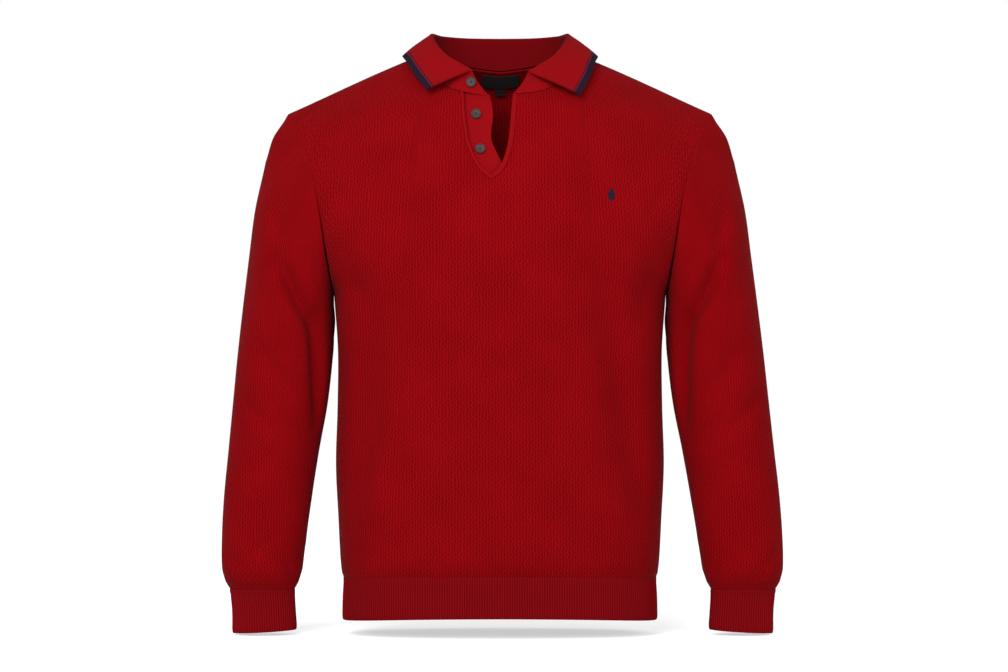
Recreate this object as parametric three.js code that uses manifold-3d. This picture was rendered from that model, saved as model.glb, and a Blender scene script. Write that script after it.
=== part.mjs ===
// A knitted henley sweater with a polo collar, filled out as if worn: front, back, two sleeves, ribbed
// hem and cuffs, a one-piece folding collar, a button stand behind a V-shaped opening, a narrow trim
// round that opening, three buttons, and a plain label with a tab inside the neck.
//
// Millimetres. +X is the wearer's left, +Y the wearer's back, +Z up. The origin is the middle of the
// neck at the height of the shoulder seams' inner ends, where the wearer's shoulders carry the garment.
//
// Every piece of cloth is a sheet of points with a wall behind it. A sheet's points lie on its shown
// face. Where two sheets are sewn together they share their seam's points and the direction of their
// walls there, and each is then drawn back a little, so that the two never touch.

import * as THREE from "three";
import Module from "manifold-3d";
import { mergeVertices } from "three/addons/utils/BufferGeometryUtils.js";

const wasm = await Module();
wasm.setup();

// ---------------------------------------------------------------- driving dimensions

const WALL = 2.4; // the knitted cloth
const STAND_WALL = 1.8; // the smoother, finer knit of the button stand
const TRIM_WALL = 1.2;
const LABEL_WALL = 0.6;
const SEAM_GAP = 0.3; // between neighbouring pieces
const FACET_GAP = 1.5; // between a curved piece's facets and what lies behind it

// The neck hole seen from above: a half oval to the back, and a squarer one to the front.
const NECK = { halfWidth: 86, front: 72.5, frontSquareness: 3, back: 72, backSquareness: 2 };
const UNDERARM = 6; // this section's edge is the bottom of the armhole
const SHOULDER = 14; // this section runs along the shoulder seams
const APEX = 11; // the section whose middle is the bottom of the neck opening
const SHOULDER_STEPS = 6; // columns of cloth along one shoulder seam
const FRONT_NECK_STEPS = 5; // and from there to the neck opening
const BACK_NECK_STEPS = 5; // or to the middle of the back

// The body, a row for each section from the hem's seam up to the shoulder seams. frontY, frontZ, backY
// and backZ place the middle of the front and of the back. edgeX is half the width; the edge is the
// side seam up to the underarm and the armhole above it, at the depths and heights of the last columns.
const BODY = [
  {
    frontY: -102, frontZ: -637, backY: 97, backZ: -641, edgeX: 192,
    frontEdgeY: 0, frontEdgeZ: -641, backEdgeY: 0, backEdgeZ: -641,
  },
  {
    frontY: -109, frontZ: -616, backY: 103, backZ: -619, edgeX: 194.5,
    frontEdgeY: 0, frontEdgeZ: -619, backEdgeY: 0, backEdgeZ: -619,
  },
  {
    frontY: -112, frontZ: -570, backY: 105, backZ: -570, edgeX: 197,
    frontEdgeY: 0, frontEdgeZ: -570, backEdgeY: 0, backEdgeZ: -570,
  },
  {
    frontY: -113, frontZ: -505, backY: 104, backZ: -505, edgeX: 200,
    frontEdgeY: 0, frontEdgeZ: -505, backEdgeY: 0, backEdgeZ: -505,
  },
  {
    frontY: -114, frontZ: -435, backY: 102, backZ: -435, edgeX: 198,
    frontEdgeY: 0, frontEdgeZ: -435, backEdgeY: 0, backEdgeZ: -435,
  },
  {
    frontY: -117, frontZ: -365, backY: 106, backZ: -365, edgeX: 197.5,
    frontEdgeY: 0, frontEdgeZ: -365, backEdgeY: 0, backEdgeZ: -365,
  },
  {
    frontY: -120, frontZ: -300, backY: 112, backZ: -297, edgeX: 202,
    frontEdgeY: 0, frontEdgeZ: -300, backEdgeY: 0, backEdgeZ: -300,
  },
  {
    frontY: -121, frontZ: -270, backY: 116, backZ: -262, edgeX: 204,
    frontEdgeY: -40, frontEdgeZ: -285, backEdgeY: 42, backEdgeZ: -283,
  },
  {
    frontY: -121, frontZ: -239, backY: 119, backZ: -226, edgeX: 209,
    frontEdgeY: -65, frontEdgeZ: -252, backEdgeY: 69, backEdgeZ: -247,
  },
  {
    frontY: -118, frontZ: -207, backY: 120, backZ: -188, edgeX: 214.5,
    frontEdgeY: -75, frontEdgeZ: -215, backEdgeY: 81, backEdgeZ: -207,
  },
  {
    frontY: -112.5, frontZ: -174, backY: 118, backZ: -150, edgeX: 220.5,
    frontEdgeY: -74, frontEdgeZ: -180, backEdgeY: 82, backEdgeZ: -168,
  },
  {
    frontY: -104, frontZ: -139, backY: 113, backZ: -112, edgeX: 228.5,
    frontEdgeY: -65, frontEdgeZ: -148, backEdgeY: 72, backEdgeZ: -134,
  },
  {
    frontY: -92, frontZ: -103, backY: 104, backZ: -74, edgeX: 238,
    frontEdgeY: -48, frontEdgeZ: -119, backEdgeY: 52, backEdgeZ: -106,
  },
  {
    frontY: -73, frontZ: -60, backY: 89, backZ: -37, edgeX: 249,
    frontEdgeY: -26, frontEdgeZ: -95, backEdgeY: 27, backEdgeZ: -89,
  },
  {
    frontY: 0, frontZ: 20, backY: 0, backZ: 20, edgeX: 259,
    frontEdgeY: 0, frontEdgeZ: -78, backEdgeY: 0, backEdgeZ: -78,
  },
];

// How each section leaves its middle and arrives at its edge: the lengths of a Bezier curve's two
// handles, the rise of the first, and the direction of the second, which turns back at the side.
const ARRIVAL = [
  { leave: 140, rise: 0, arrive: 66, outward: 0, round: 1, upward: 0 },
  { leave: 143, rise: 0, arrive: 70, outward: 0, round: 1, upward: 0 },
  { leave: 144, rise: 0, arrive: 70, outward: 0, round: 1, upward: 0 },
  { leave: 146, rise: 0, arrive: 70, outward: 0, round: 1, upward: 0 },
  { leave: 145, rise: 0, arrive: 70, outward: 0, round: 1, upward: 0 },
  { leave: 145, rise: 0, arrive: 72, outward: 0, round: 1, upward: 0 },
  { leave: 146, rise: 0, arrive: 72, outward: 0, round: 1, upward: 0 },
  { leave: 143, rise: 0, arrive: 56, outward: 0.28, round: 0.96, upward: 0 },
  { leave: 138, rise: 0, arrive: 50, outward: 0.55, round: 0.83, upward: 0 },
  { leave: 132, rise: 0, arrive: 50, outward: 0.72, round: 0.69, upward: -0.05 },
  { leave: 126, rise: 2, arrive: 50, outward: 0.8, round: 0.59, upward: -0.12 },
  { leave: 120, rise: 5, arrive: 55, outward: 0.86, round: 0.45, upward: -0.22 },
  { leave: 110, rise: 9, arrive: 60, outward: 0.89, round: 0.3, upward: -0.32 },
  { leave: 95, rise: 12, arrive: 65, outward: 0.91, round: 0.15, upward: -0.38 },
  { leave: 70, rise: -5, arrive: 75, outward: 0.92, round: 0, upward: -0.39 },
];

// The ribbed hem, below the body's first section, with its height and its pull-in.
const HEM = [
  { frontY: -102, frontZ: -637, backY: 97, backZ: -641, edgeX: 192, edgeZ: -641 },
  { frontY: -100.5, frontZ: -643, backY: 95.5, backZ: -647, edgeX: 190.5, edgeZ: -647 },
  { frontY: -102, frontZ: -662, backY: 96.5, backZ: -667, edgeX: 191.5, edgeZ: -667 },
  { frontY: -103.5, frontZ: -687, backY: 98, backZ: -694, edgeX: 192, edgeZ: -694 },
];

// A sleeve, a row for each height: its outer and inner sides, the depth of its middle, and half its
// thickness from front to back. The first rows reach inside the body, where only the outside is cloth.
const SLEEVE = [
  { z: -78, outer: 259, inner: 150, middleY: 0, half: 62 },
  { z: -107, outer: 276.5, inner: 160, middleY: 0, half: 66 },
  { z: -137, outer: 286, inner: 170, middleY: 0, half: 69 },
  { z: -195, outer: 298.5, inner: 186, middleY: 0, half: 72 },
  { z: -254, outer: 306, inner: 197, middleY: -1, half: 71 },
  { z: -312, outer: 313, inner: 205, middleY: -3, half: 66 },
  { z: -371, outer: 319.5, inner: 204, middleY: -5, half: 60 },
  { z: -429, outer: 325, inner: 209.5, middleY: -7, half: 54 },
  { z: -488, outer: 330.5, inner: 220, middleY: -9, half: 49 },
  { z: -547, outer: 336, inner: 229, middleY: -11, half: 45 },
  { z: -600, outer: 338.5, inner: 236, middleY: -12, half: 43 },
  { z: -632, outer: 338, inner: 240, middleY: -13, half: 40 },
  { z: -647, outer: 334, inner: 244.5, middleY: -13, half: 34 },
  { z: -656, outer: 329.5, inner: 248.5, middleY: -13, half: 28 },
];
const SLEEVE_SWING = { left: 7, right: 0 }; // how far the cuff hangs out beyond the table
const CAP_SHARE = 0.24; // the share of the sleeve that eases from the armhole's shape to the table's
const SLEEVE_ROWS = 12;
const ROW_CROWDING = 1.35; // its rows lie closer together towards the armhole

// A cuff, below the sleeve's last row.
const CUFF = [
  { z: -656, outer: 329.5, inner: 248.5, middleY: -13, half: 28 },
  { z: -662, outer: 327.5, inner: 249.5, middleY: -13, half: 25.5 },
  { z: -684, outer: 325.5, inner: 248.5, middleY: -13, half: 25 },
  { z: -708, outer: 325.5, inner: 247, middleY: -13, half: 26 },
];
const CUFF_TILT = 2.2; // the outer side hangs this much lower than the middle

// The opening below the neck seen from the front: its two edges, and the button stand's free edge.
const OPENING = [
  { z: -40, left: -44.5, right: 18.5, stand: -13 },
  { z: -56, left: -44, right: 16.5, stand: -12 },
  { z: -70, left: -43, right: 15, stand: -9 },
  { z: -84, left: -42, right: 13.6, stand: -8.2 },
  { z: -100, left: -40, right: 12.4, stand: -10 },
  { z: -113, left: -38, right: 11, stand: -9.8 },
  { z: -126, left: -34, right: 8.4, stand: -4.6 },
  { z: -139, left: -28, right: 4.2, stand: 1.4 },
  { z: -150, left: -20.5, right: -2, stand: 6 },
  { z: -158, left: -10.5, right: -10.5, stand: 8 },
  { z: -176, left: -10.5, right: -10.5, stand: 8 },
];
const TRIM_WIDTH = 5;
const STAND_TUCK = 7; // how far the button stand reaches behind the front
const STAND_FOOT = 7; // and how far below the opening

// The collar, a row for each place along half of it, from the middle of the back to the front end.
// along is the share of the half neck seam; fold is the top of its roll; edge is its outer edge.
const COLLAR = [
  { along: 0, foldX: 0, foldY: 79, foldZ: 20, edgeX: 0, edgeY: 90, edgeZ: -24 },
  { along: 0.17, foldX: 41, foldY: 71, foldZ: 20, edgeX: 51, edgeY: 84, edgeZ: -25 },
  { along: 0.33, foldX: 71, foldY: 46, foldZ: 20.5, edgeX: 94, edgeY: 56, edgeZ: -19 },
  { along: 0.46, foldX: 83.5, foldY: 4, foldZ: 20, edgeX: 117, edgeY: 4, edgeZ: -9 },
  { along: 0.61, foldX: 78, foldY: -25, foldZ: 5, edgeX: 113, edgeY: -30, edgeZ: -19 },
  { along: 0.75, foldX: 66.5, foldY: -45, foldZ: -9, edgeX: 106, edgeY: -50, edgeZ: -34 },
  { along: 0.875, foldX: 52, foldY: -57, foldZ: -19, edgeX: 98, edgeY: -63, edgeZ: -47 },
  { along: 1, foldX: 35.5, foldY: -68, foldZ: -29, edgeX: 92, edgeY: -77, edgeZ: -57 },
];
const COLLAR_SHIFT = 4; // the points lie this much to the wearer's left
const COLLAR_DROP = 3; // and the wearer's left point hangs this much lower than the other
const ROLL = 1; // the roll's inner radius
const STAND_END = -13; // the collar's front end on the button side

const BUTTON = { radius: 6, thickness: 2.6, rim: 1.3, dish: 0.7, holeRadius: 0.75, holeSpacing: 2.1 };
const BUTTON_PLACES = [
  { x: -28.5, z: -82 },
  { x: -23.4, z: -124.5 },
];
const COLLAR_BUTTON = { column: 1, row: 1, share: 0.43 }; // its place among the collar's points

const LABEL = { halfWidth: 22, height: 14, top: 3.5 };
const TAB = { halfWidth: 5, height: 8 };
const TAB_INSET = 1.4; // the label's lower edge and the tab hang this much off the back

// Long soft folds of the cloth, pressed in along its face. x0, z0 and x1, z1 are a fold's ends seen
// from the front, width is half its breadth, and depth is how far it goes in, or out if negative.
const FRONT_FOLDS = [
  { x0: -150, z0: -300, x1: -176, z1: -600, width: 22, depth: 5 },
  { x0: 132, z0: -330, x1: 168, z1: -560, width: 24, depth: 7 },
  { x0: -122, z0: -430, x1: -166, z1: -600, width: 16, depth: -3 },
  { x0: 120, z0: -250, x1: 142, z1: -400, width: 18, depth: 3.5 },
];
const BACK_FOLDS = [
  { x0: 140, z0: -280, x1: 172, z1: -590, width: 22, depth: 6 },
  { x0: -146, z0: -320, x1: -170, z1: -580, width: 24, depth: 5 },
  { x0: 60, z0: -420, x1: 96, z1: -610, width: 26, depth: 3 },
];
// The same on a sleeve: turn is the place round it in turns, 0 outside and 0.25 in front, and z the height.
const SLEEVE_FOLDS = [
  { turn0: 0.2, z0: -255, turn1: 0.36, z1: -335, width: 11, depth: 6 },
  { turn0: 0.36, z0: -330, turn1: 0.42, z1: -450, width: 13, depth: 6 },
  { turn0: 0.17, z0: -360, turn1: 0.3, z1: -430, width: 13, depth: 3.5 },
  { turn0: 0.62, z0: -280, turn1: 0.76, z1: -360, width: 13, depth: 5 },
  { turn0: 0.68, z0: -400, turn1: 0.8, z1: -500, width: 14, depth: 4 },
];

const MATERIALS = {
  knit: new THREE.MeshStandardMaterial({ color: 0x98101a, roughness: 0.9, metalness: 0 }),
  rib: new THREE.MeshStandardMaterial({ color: 0x860f17, roughness: 0.9, metalness: 0 }),
  collar: new THREE.MeshStandardMaterial({ color: 0xa3141f, roughness: 0.88, metalness: 0 }),
  button: new THREE.MeshStandardMaterial({ color: 0x4a3f3d, roughness: 0.4, metalness: 0 }),
  label: new THREE.MeshStandardMaterial({ color: 0x141318, roughness: 0.7, metalness: 0 }),
};

// ---------------------------------------------------------------- curves and small tools

const vec = (x, y, z) => new THREE.Vector3(x, y, z);
const mix = THREE.MathUtils.lerp;
const clamp = THREE.MathUtils.clamp;
const steps = (count) => Array.from({ length: count + 1 }, (_, i) => i / count);
const smooth = (share) => THREE.MathUtils.smoothstep(share, 0, 1);

// A Catmull-Rom curve through one column of a table at the row index t, kept within rows low to high.
function column(table, key, t, low = 0, high = table.length - 1) {
  const i = clamp(Math.floor(t), low, high - 1);
  const f = t - i;
  const at = (k) => table[clamp(k, low, high)][key];
  const [a, b, c, d] = [at(i - 1), at(i), at(i + 1), at(i + 2)];
  return b + 0.5 * f * (c - a + f * (2 * a - 5 * b + 4 * c - d + f * (3 * (b - c) + d - a)));
}

// The row index at which a table's own column, which rises or falls throughout, has a value.
function indexAt(table, key, value) {
  const rising = table[table.length - 1][key] > table[0][key];
  const k = table.findIndex((row) => (rising ? row[key] >= value : row[key] <= value));
  if (k < 0) return table.length - 1;
  if (k === 0) return 0;
  return k - 1 + (value - table[k - 1][key]) / (table[k][key] - table[k - 1][key]);
}

// The place between low and high where a function changes sign.
function solve(f, low, high) {
  const sign = Math.sign(f(low));
  for (let i = 0; i < 40; i++) {
    const middle = (low + high) / 2;
    if (Math.sign(f(middle)) === sign) low = middle;
    else high = middle;
  }
  return (low + high) / 2;
}

function bezier(a, b, c, d, s) {
  const r = 1 - s;
  return vec(0, 0, 0)
    .addScaledVector(a, r * r * r)
    .addScaledVector(b, 3 * r * r * s)
    .addScaledVector(c, 3 * r * s * s)
    .addScaledVector(d, s * s * s);
}

// How deep a point on the face is pressed in by a list of folds, each a soft trough that fades at its ends.
function foldDepth(folds, across, up) {
  let depth = 0;
  for (const { a0, b0, a1, b1, width, depth: deep } of folds) {
    const [da, db] = [a1 - a0, b1 - b0];
    const share = ((across - a0) * da + (up - b0) * db) / (da * da + db * db);
    const held = clamp(share, 0, 1);
    const away = Math.hypot(across - a0 - held * da, up - b0 - held * db);
    depth += deep * Math.exp(-((away / width) ** 2)) * Math.sin(Math.PI * clamp(0.12 + 0.76 * held, 0, 1));
  }
  return depth;
}

// ---------------------------------------------------------------- the body's surface

// One side's sections, with the other side's last but one added so that the shoulder is round.
function sections(side) {
  const own = (row, s) => ({
    y: row[s + "Y"],
    z: row[s + "Z"],
    edgeX: row.edgeX,
    edgeY: row[s + "EdgeY"],
    edgeZ: row[s + "EdgeZ"],
  });
  const other = side === "front" ? "back" : "front";
  const table = BODY.map((row, i) => ({ ...own(row, side), ...ARRIVAL[i] }));
  const over = BODY.length - 2;
  return [...table, { ...own(BODY[over], other), ...ARRIVAL[over], round: -ARRIVAL[over].round }];
}
const SECTIONS = { front: sections("front"), back: sections("back") };
const TOWARDS = { front: 1, back: -1 }; // the way from a side's middle round to its edge, along Y

// A point of the body: across is -1 to 1 from edge to edge, and t is the section's index.
function bodyPoint(side, across, t) {
  const table = SECTIONS[side];
  const last = table.length - 1;
  const middle = (key) => column(table, key, t);
  const edge = (key) => {
    if (t < UNDERARM) return column(table, key, t, 0, UNDERARM);
    return column(table, key, t, UNDERARM, last);
  };
  const start = vec(0, middle("y"), middle("z"));
  const end = vec(edge("edgeX"), edge("edgeY"), edge("edgeZ"));
  const arrival = vec(middle("outward"), TOWARDS[side] * middle("round"), middle("upward")).normalize();
  const point = bezier(
    start,
    start.clone().add(vec(middle("leave"), 0, middle("rise"))),
    end.clone().addScaledVector(arrival, -middle("arrive")),
    end,
    Math.abs(across),
  );
  if (across < 0) point.x = -point.x;
  return point;
}

const flat = (folds) =>
  folds.map((f) => ({ a0: f.x0, b0: f.z0, a1: f.x1, b1: f.z1, width: f.width, depth: f.depth }));
const FOLDS = { front: flat(FRONT_FOLDS), back: flat(BACK_FOLDS) };

// The same point with the body's long folds pressed in. They fade out at the seams.
function foldedPoint(side, across, t) {
  const point = bodyPoint(side, across, t);
  const fade = smooth((1 - Math.abs(across)) / 0.12) * smooth(t / 1.2);
  point.y += TOWARDS[side] * fade * foldDepth(FOLDS[side], point.x, point.z);
  return point;
}

// Where the neck hole crosses the shoulder seam, as a share across.
const NECK_SHARE = solve((s) => bodyPoint("front", s, SHOULDER).x - NECK.halfWidth, 0.1, 0.9);

// The section index of the top of the cloth: the shoulder seam, or the neck hole between the two.
function topOf(side, across) {
  if (Math.abs(across) >= NECK_SHARE) return SHOULDER;
  return solve((t) => {
    const p = bodyPoint(side, across, t);
    const square = NECK[side + "Squareness"];
    return Math.abs(p.x / NECK.halfWidth) ** square + Math.abs(p.y / NECK[side]) ** square - 1;
  }, SHOULDER - 3, SHOULDER);
}

const openingAt = (key, z) => column(OPENING, key, indexAt(OPENING, "z", z));

// The share across of one edge of the opening at a section, and of the front's middle line below it.
const APEX_SHARE = solve((s) => bodyPoint("front", s, APEX).x - OPENING[OPENING.length - 1].left, -0.5, 0.5);
const APEX_TOP = (APEX * topOf("front", APEX_SHARE)) / SHOULDER;
function openingShare(key, t) {
  if (t <= APEX_TOP) return APEX_SHARE;
  return solve((s) => {
    const p = bodyPoint("front", s, t);
    return p.x - openingAt(key, p.z);
  }, -0.6, 0.6);
}

// The share across of the opening's corner at the neck.
const CORNER = Object.fromEntries(
  ["left", "right"].map((key) => {
    let share = APEX_SHARE;
    for (let i = 0; i < 12; i++) share = openingShare(key, topOf("front", share));
    return [key, share];
  }),
);

// And the section index of that corner.
const CORNER_TOP = Object.fromEntries(
  ["left", "right"].map((key) => [key, topOf("front", CORNER[key])]),
);

// Half of the front: its columns run from the edge in to the opening, or to the middle line below it.
// The column index i counts shoulder steps first and then neck steps.
function frontPlace(key, i, t) {
  const side = key === "left" ? -1 : 1;
  const shoulder = (1 - NECK_SHARE) / (1 - side * CORNER[key]);
  const share =
    i <= SHOULDER_STEPS
      ? (shoulder * i) / SHOULDER_STEPS
      : mix(shoulder, 1, ((i - SHOULDER_STEPS) / FRONT_NECK_STEPS) ** 2);
  let s = side;
  let at = t;
  for (let k = 0; k < 12; k++) {
    s = mix(side, openingShare(key, Math.min(at, CORNER_TOP[key])), share);
    at = (t * topOf("front", s)) / SHOULDER;
  }
  return { across: s, t: at };
}

function backPlace(i, t) {
  const columns = 2 * (SHOULDER_STEPS + BACK_NECK_STEPS);
  const mirrored = i > columns / 2;
  const k = mirrored ? columns - i : i;
  const across =
    k <= SHOULDER_STEPS
      ? -mix(1, NECK_SHARE, k / SHOULDER_STEPS)
      : -mix(NECK_SHARE, 0, ((k - SHOULDER_STEPS) / BACK_NECK_STEPS) ** 1.5);
  const s = mirrored ? -across : across;
  return { across: s, t: (t * topOf("back", s)) / SHOULDER };
}

// ---------------------------------------------------------------- sheets of cloth

// A sheet from a grid of points. Its faces look outwards where its columns and rows turn anticlockwise
// seen from outside; turned says that they run the other way. closed joins the last column to the first.
function gridSheet(grid, { turned = false, closed = false } = {}) {
  const columns = grid[0].length;
  const id = (i, j) => i * columns + (j % columns);
  const faces = [];
  for (let i = 0; i < grid.length - 1; i++) {
    for (let j = 0; j < columns - (closed ? 0 : 1); j++) {
      const face = [id(i, j), id(i, j + 1), id(i + 1, j + 1), id(i + 1, j)];
      faces.push(turned ? face.reverse() : face);
    }
  }
  return withNormals({ points: grid.flat(), faces });
}

function withNormals(sheet) {
  sheet.normals = sheet.points.map(() => vec(0, 0, 0));
  for (const [a, b, c, d] of sheet.faces) {
    const p = sheet.points;
    const across = p[c].clone().sub(p[a]);
    const normal = across.cross(p[d].clone().sub(p[b]));
    for (const k of [a, b, c, d]) sheet.normals[k].add(normal);
  }
  for (const n of sheet.normals) n.normalize();
  return sheet;
}

// The front is two grids that share their inner column up to the bottom of the opening.
function frontSheet(rows) {
  const columns = SHOULDER_STEPS + FRONT_NECK_STEPS;
  const points = [];
  const ids = { left: [], right: [] };
  for (const key of ["left", "right"])
    for (const t of rows) {
      const row = [];
      for (let i = 0; i <= columns; i++) {
        const shared = key === "right" && i === columns && t <= APEX;
        if (shared) {
          row.push(ids.left[rows.indexOf(t)][columns]);
          continue;
        }
        const place = frontPlace(key, i, t);
        row.push(points.push(foldedPoint("front", place.across, place.t)) - 1);
      }
      ids[key].push(row);
    }
  const faces = [];
  const { left, right } = ids;
  for (let r = 0; r < rows.length - 1; r++) {
    for (let i = 0; i < columns; i++) {
      faces.push([left[r][i], left[r][i + 1], left[r + 1][i + 1], left[r + 1][i]]);
      faces.push([right[r][i + 1], right[r][i], right[r + 1][i], right[r + 1][i + 1]]);
    }
  }
  return { ...withNormals({ points, faces }), ids };
}

// Sheets that are sewn together share points. There, each takes the mean direction of them all. Under
// the arm the sleeve lies back to back with the body, and both walls rise from the crease.
function matchSeams(sheets) {
  const shared = new Map();
  const crease = [-1, 1].map((side) => bodyPoint("front", side, UNDERARM));
  const key = (p) => [p.x, p.y, p.z].map((v) => Math.round(v * 50)).join();
  for (const sheet of sheets)
    sheet.points.forEach((p, i) => {
      const sum = shared.get(key(p)) ?? vec(0, 0, 0);
      shared.set(key(p), sum.add(sheet.normals[i]));
    });
  for (const p of crease) shared.set(key(p), vec(0, 0, -1));
  for (const sheet of sheets)
    sheet.normals = sheet.points.map((p) => {
      const sum = shared.get(key(p));
      return sum.clone().normalize();
    });
}

// A four-sided face turned so that its shorter diagonal comes first.
function shorterCut(points, [a, b, c, d]) {
  const first = points[a].distanceTo(points[c]);
  const second = points[b].distanceTo(points[d]);
  return first <= second ? [a, b, c, d] : [b, c, d, a];
}

// Puts points in an order, so that two pieces' rims are cut into triangles the same way along a seam.
const order = (p) => p.z * 1000 + p.x * 10 + p.y;

// A closed solid from a sheet: its shown face, a wall's thickness behind it, and its rim, which is
// drawn back from the seams by half the gap.
function thicken(sheet, wall = WALL) {
  const { points, normals, faces } = sheet;
  const next = new Map();
  for (const face of faces) {
    face.forEach((a, k) => {
      const b = face[(k + 1) % face.length];
      next.set(a + "," + b, [a, b]);
    });
  }
  const rim = [...next.values()].filter(([a, b]) => !next.has(b + "," + a));
  const inward = points.map(() => vec(0, 0, 0));
  for (const [a, b] of rim) {
    const along = points[b].clone().sub(points[a]).normalize();
    const normal = normals[a].clone().add(normals[b]).normalize();
    const step = normal.cross(along).normalize();
    inward[a].add(step);
    inward[b].add(step);
  }
  const shown = points.map((p, i) => {
    const spread = Math.max(inward[i].lengthSq(), 0.8);
    return p.clone().addScaledVector(inward[i], SEAM_GAP / spread);
  });
  const behind = shown.map((p, i) => p.clone().addScaledVector(normals[i], -wall));
  const count = points.length;
  const triangles = [];
  const quad = (a, b, c, d) => triangles.push(a, b, c, a, c, d);
  for (const face of faces) {
    const [a, b, c, d] = shorterCut(points, face);
    quad(a, b, c, d);
    quad(count + c, count + b, count + a, count + d);
  }
  for (const [a, b] of rim) {
    if (order(points[a]) < order(points[b])) quad(b, a, count + a, count + b);
    else quad(a, count + a, count + b, b);
  }
  const geometry = new THREE.BufferGeometry();
  geometry.setFromPoints([...shown, ...behind]);
  geometry.setIndex(triangles);
  return geometry;
}

// ---------------------------------------------------------------- the pieces

const LOWER_ROWS = [0, 0.6, 1.4, 2.4, 3.4, 4.4, 5.3];
const ARMHOLE_ROWS = [6, 6.5, 7, 7.7, 8.5, 9.3, 10.2, 11, 11.6, 12.2, 12.7, 13.1, 13.5, 14];
const ROWS = [...LOWER_ROWS, ...ARMHOLE_ROWS];
const FRONT_COLUMNS = SHOULDER_STEPS + FRONT_NECK_STEPS;
const BACK_COLUMNS = 2 * (SHOULDER_STEPS + BACK_NECK_STEPS);

function backSheet() {
  const grid = ROWS.map((t) =>
    Array.from({ length: BACK_COLUMNS + 1 }, (_, i) => {
      const place = backPlace(i, t);
      return foldedPoint("back", place.across, place.t);
    }),
  );
  return { ...gridSheet(grid, { turned: true }), grid };
}

// The hem's front or back, on the same columns as the body's first section.
function hemSheet(side, shares) {
  const table = HEM.map((row) => ({
    y: row[side + "Y"],
    z: row[side + "Z"],
    edgeX: row.edgeX,
    edgeZ: row.edgeZ,
  }));
  const { leave, arrive } = ARRIVAL[0];
  const grid = table
    .map((row) =>
      shares.map((share) => {
        const start = vec(0, row.y, row.z);
        const end = vec(row.edgeX, 0, row.edgeZ);
        const point = bezier(
          start,
          start.clone().add(vec(leave, 0, 0)),
          end.clone().add(vec(0, -TOWARDS[side] * arrive, 0)),
          end,
          Math.abs(share),
        );
        if (share < 0) point.x = -point.x;
        return point;
      }),
    )
    .reverse();
  return gridSheet(grid, { turned: side === "back" });
}

// The armhole on the wearer's left, from the shoulder down the front and up the back.
function armhole() {
  const down = [...ARMHOLE_ROWS].reverse();
  const up = ARMHOLE_ROWS.slice(1, -1);
  return [
    ...down.map((t) => foldedPoint("front", 1, t)),
    ...up.map((t) => foldedPoint("back", 1, t)),
  ];
}

// A ring of a sleeve or a cuff at one height and place round it.
function ringPoint(table, z, turn, tilt = 0) {
  const t = indexAt(table, "z", z);
  const at = (key) => column(table, key, t);
  const middle = (at("outer") + at("inner")) / 2;
  const half = (at("outer") - at("inner")) / 2;
  const angle = 2 * Math.PI * turn;
  return vec(
    middle + half * Math.cos(angle),
    at("middleY") - at("half") * Math.sin(angle),
    z - tilt * Math.cos(angle),
  );
}

const CUFF_SEAM = CUFF[0].z;
const CUFF_END = CUFF[CUFF.length - 1].z;

// Folds round a sleeve are laid out flat, at a mean radius.
const SLEEVE_RADIUS = 60;
const roundFolds = SLEEVE_FOLDS.map((f) => ({
  a0: f.turn0 * 2 * Math.PI * SLEEVE_RADIUS,
  b0: f.z0,
  a1: f.turn1 * 2 * Math.PI * SLEEVE_RADIUS,
  b1: f.z1,
  width: f.width,
  depth: f.depth,
}));

function sleeveGrid(swing) {
  const seam = armhole();
  const count = seam.length;
  return steps(SLEEVE_ROWS).map((share) =>
    seam.map((start, j) => {
      const down = share ** ROW_CROWDING;
      const turn = j / count;
      const z = mix(start.z, CUFF_SEAM, down);
      const ease = smooth(1 - down / CAP_SHARE);
      const first = ringPoint(SLEEVE, start.z, turn);
      const point = ringPoint(SLEEVE, z, turn);
      point.addScaledVector(start.clone().sub(first), ease);
      const press = foldDepth(roundFolds, turn * 2 * Math.PI * SLEEVE_RADIUS, z) * smooth(down / 0.1);
      const angle = 2 * Math.PI * turn;
      return point.add(vec(swing * down * down - Math.cos(angle) * press, Math.sin(angle) * press, 0));
    }),
  );
}

function cuffGrid(swing, top) {
  const count = top.length;
  const grid = CUFF.map((row) =>
    top.map((_, j) => {
      const share = (CUFF_SEAM - row.z) / (CUFF_SEAM - CUFF_END);
      return ringPoint(CUFF, row.z, j / count, CUFF_TILT * share).add(vec(swing, 0, 0));
    }),
  );
  grid[0] = top.map((p) => p.clone());
  return grid;
}

const mirrored = (grid) => grid.map((row) => row.map((p) => vec(-p.x, p.y, p.z)));

// ---------------------------------------------------------------- the collar

// The neck seam from the button side round the back to the other side, with the stretch of it that is
// sewn to the button stand first.
function neckSeam(front, back) {
  const top = ROWS.length - 1;
  const onFrontSheet = (key) => front.ids[key][top].slice(SHOULDER_STEPS).map((id) => front.points[id]);
  const behind = back.grid[top].slice(SHOULDER_STEPS + 1, BACK_COLUMNS - SHOULDER_STEPS);
  const onStand = [1, 0.5].map((share) => {
    const across = neckShare("front", mix(CORNER_X, STAND_END, share));
    const t = topOf("front", across);
    const inset = -(WALL + FACET_GAP) * share;
    return bodyPoint("front", across, t).addScaledVector(faceNormal("front", across, t), inset);
  });
  return [...onStand, ...onFrontSheet("left").reverse(), ...behind, ...onFrontSheet("right")];
}

// The share across at which the neck seam has a place along X.
function neckShare(side, x) {
  return solve((s) => bodyPoint(side, s, topOf(side, s)).x - x, -NECK_SHARE, NECK_SHARE);
}

const CORNER_X = bodyPoint("front", CORNER.left, topOf("front", CORNER.left)).x;

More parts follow.
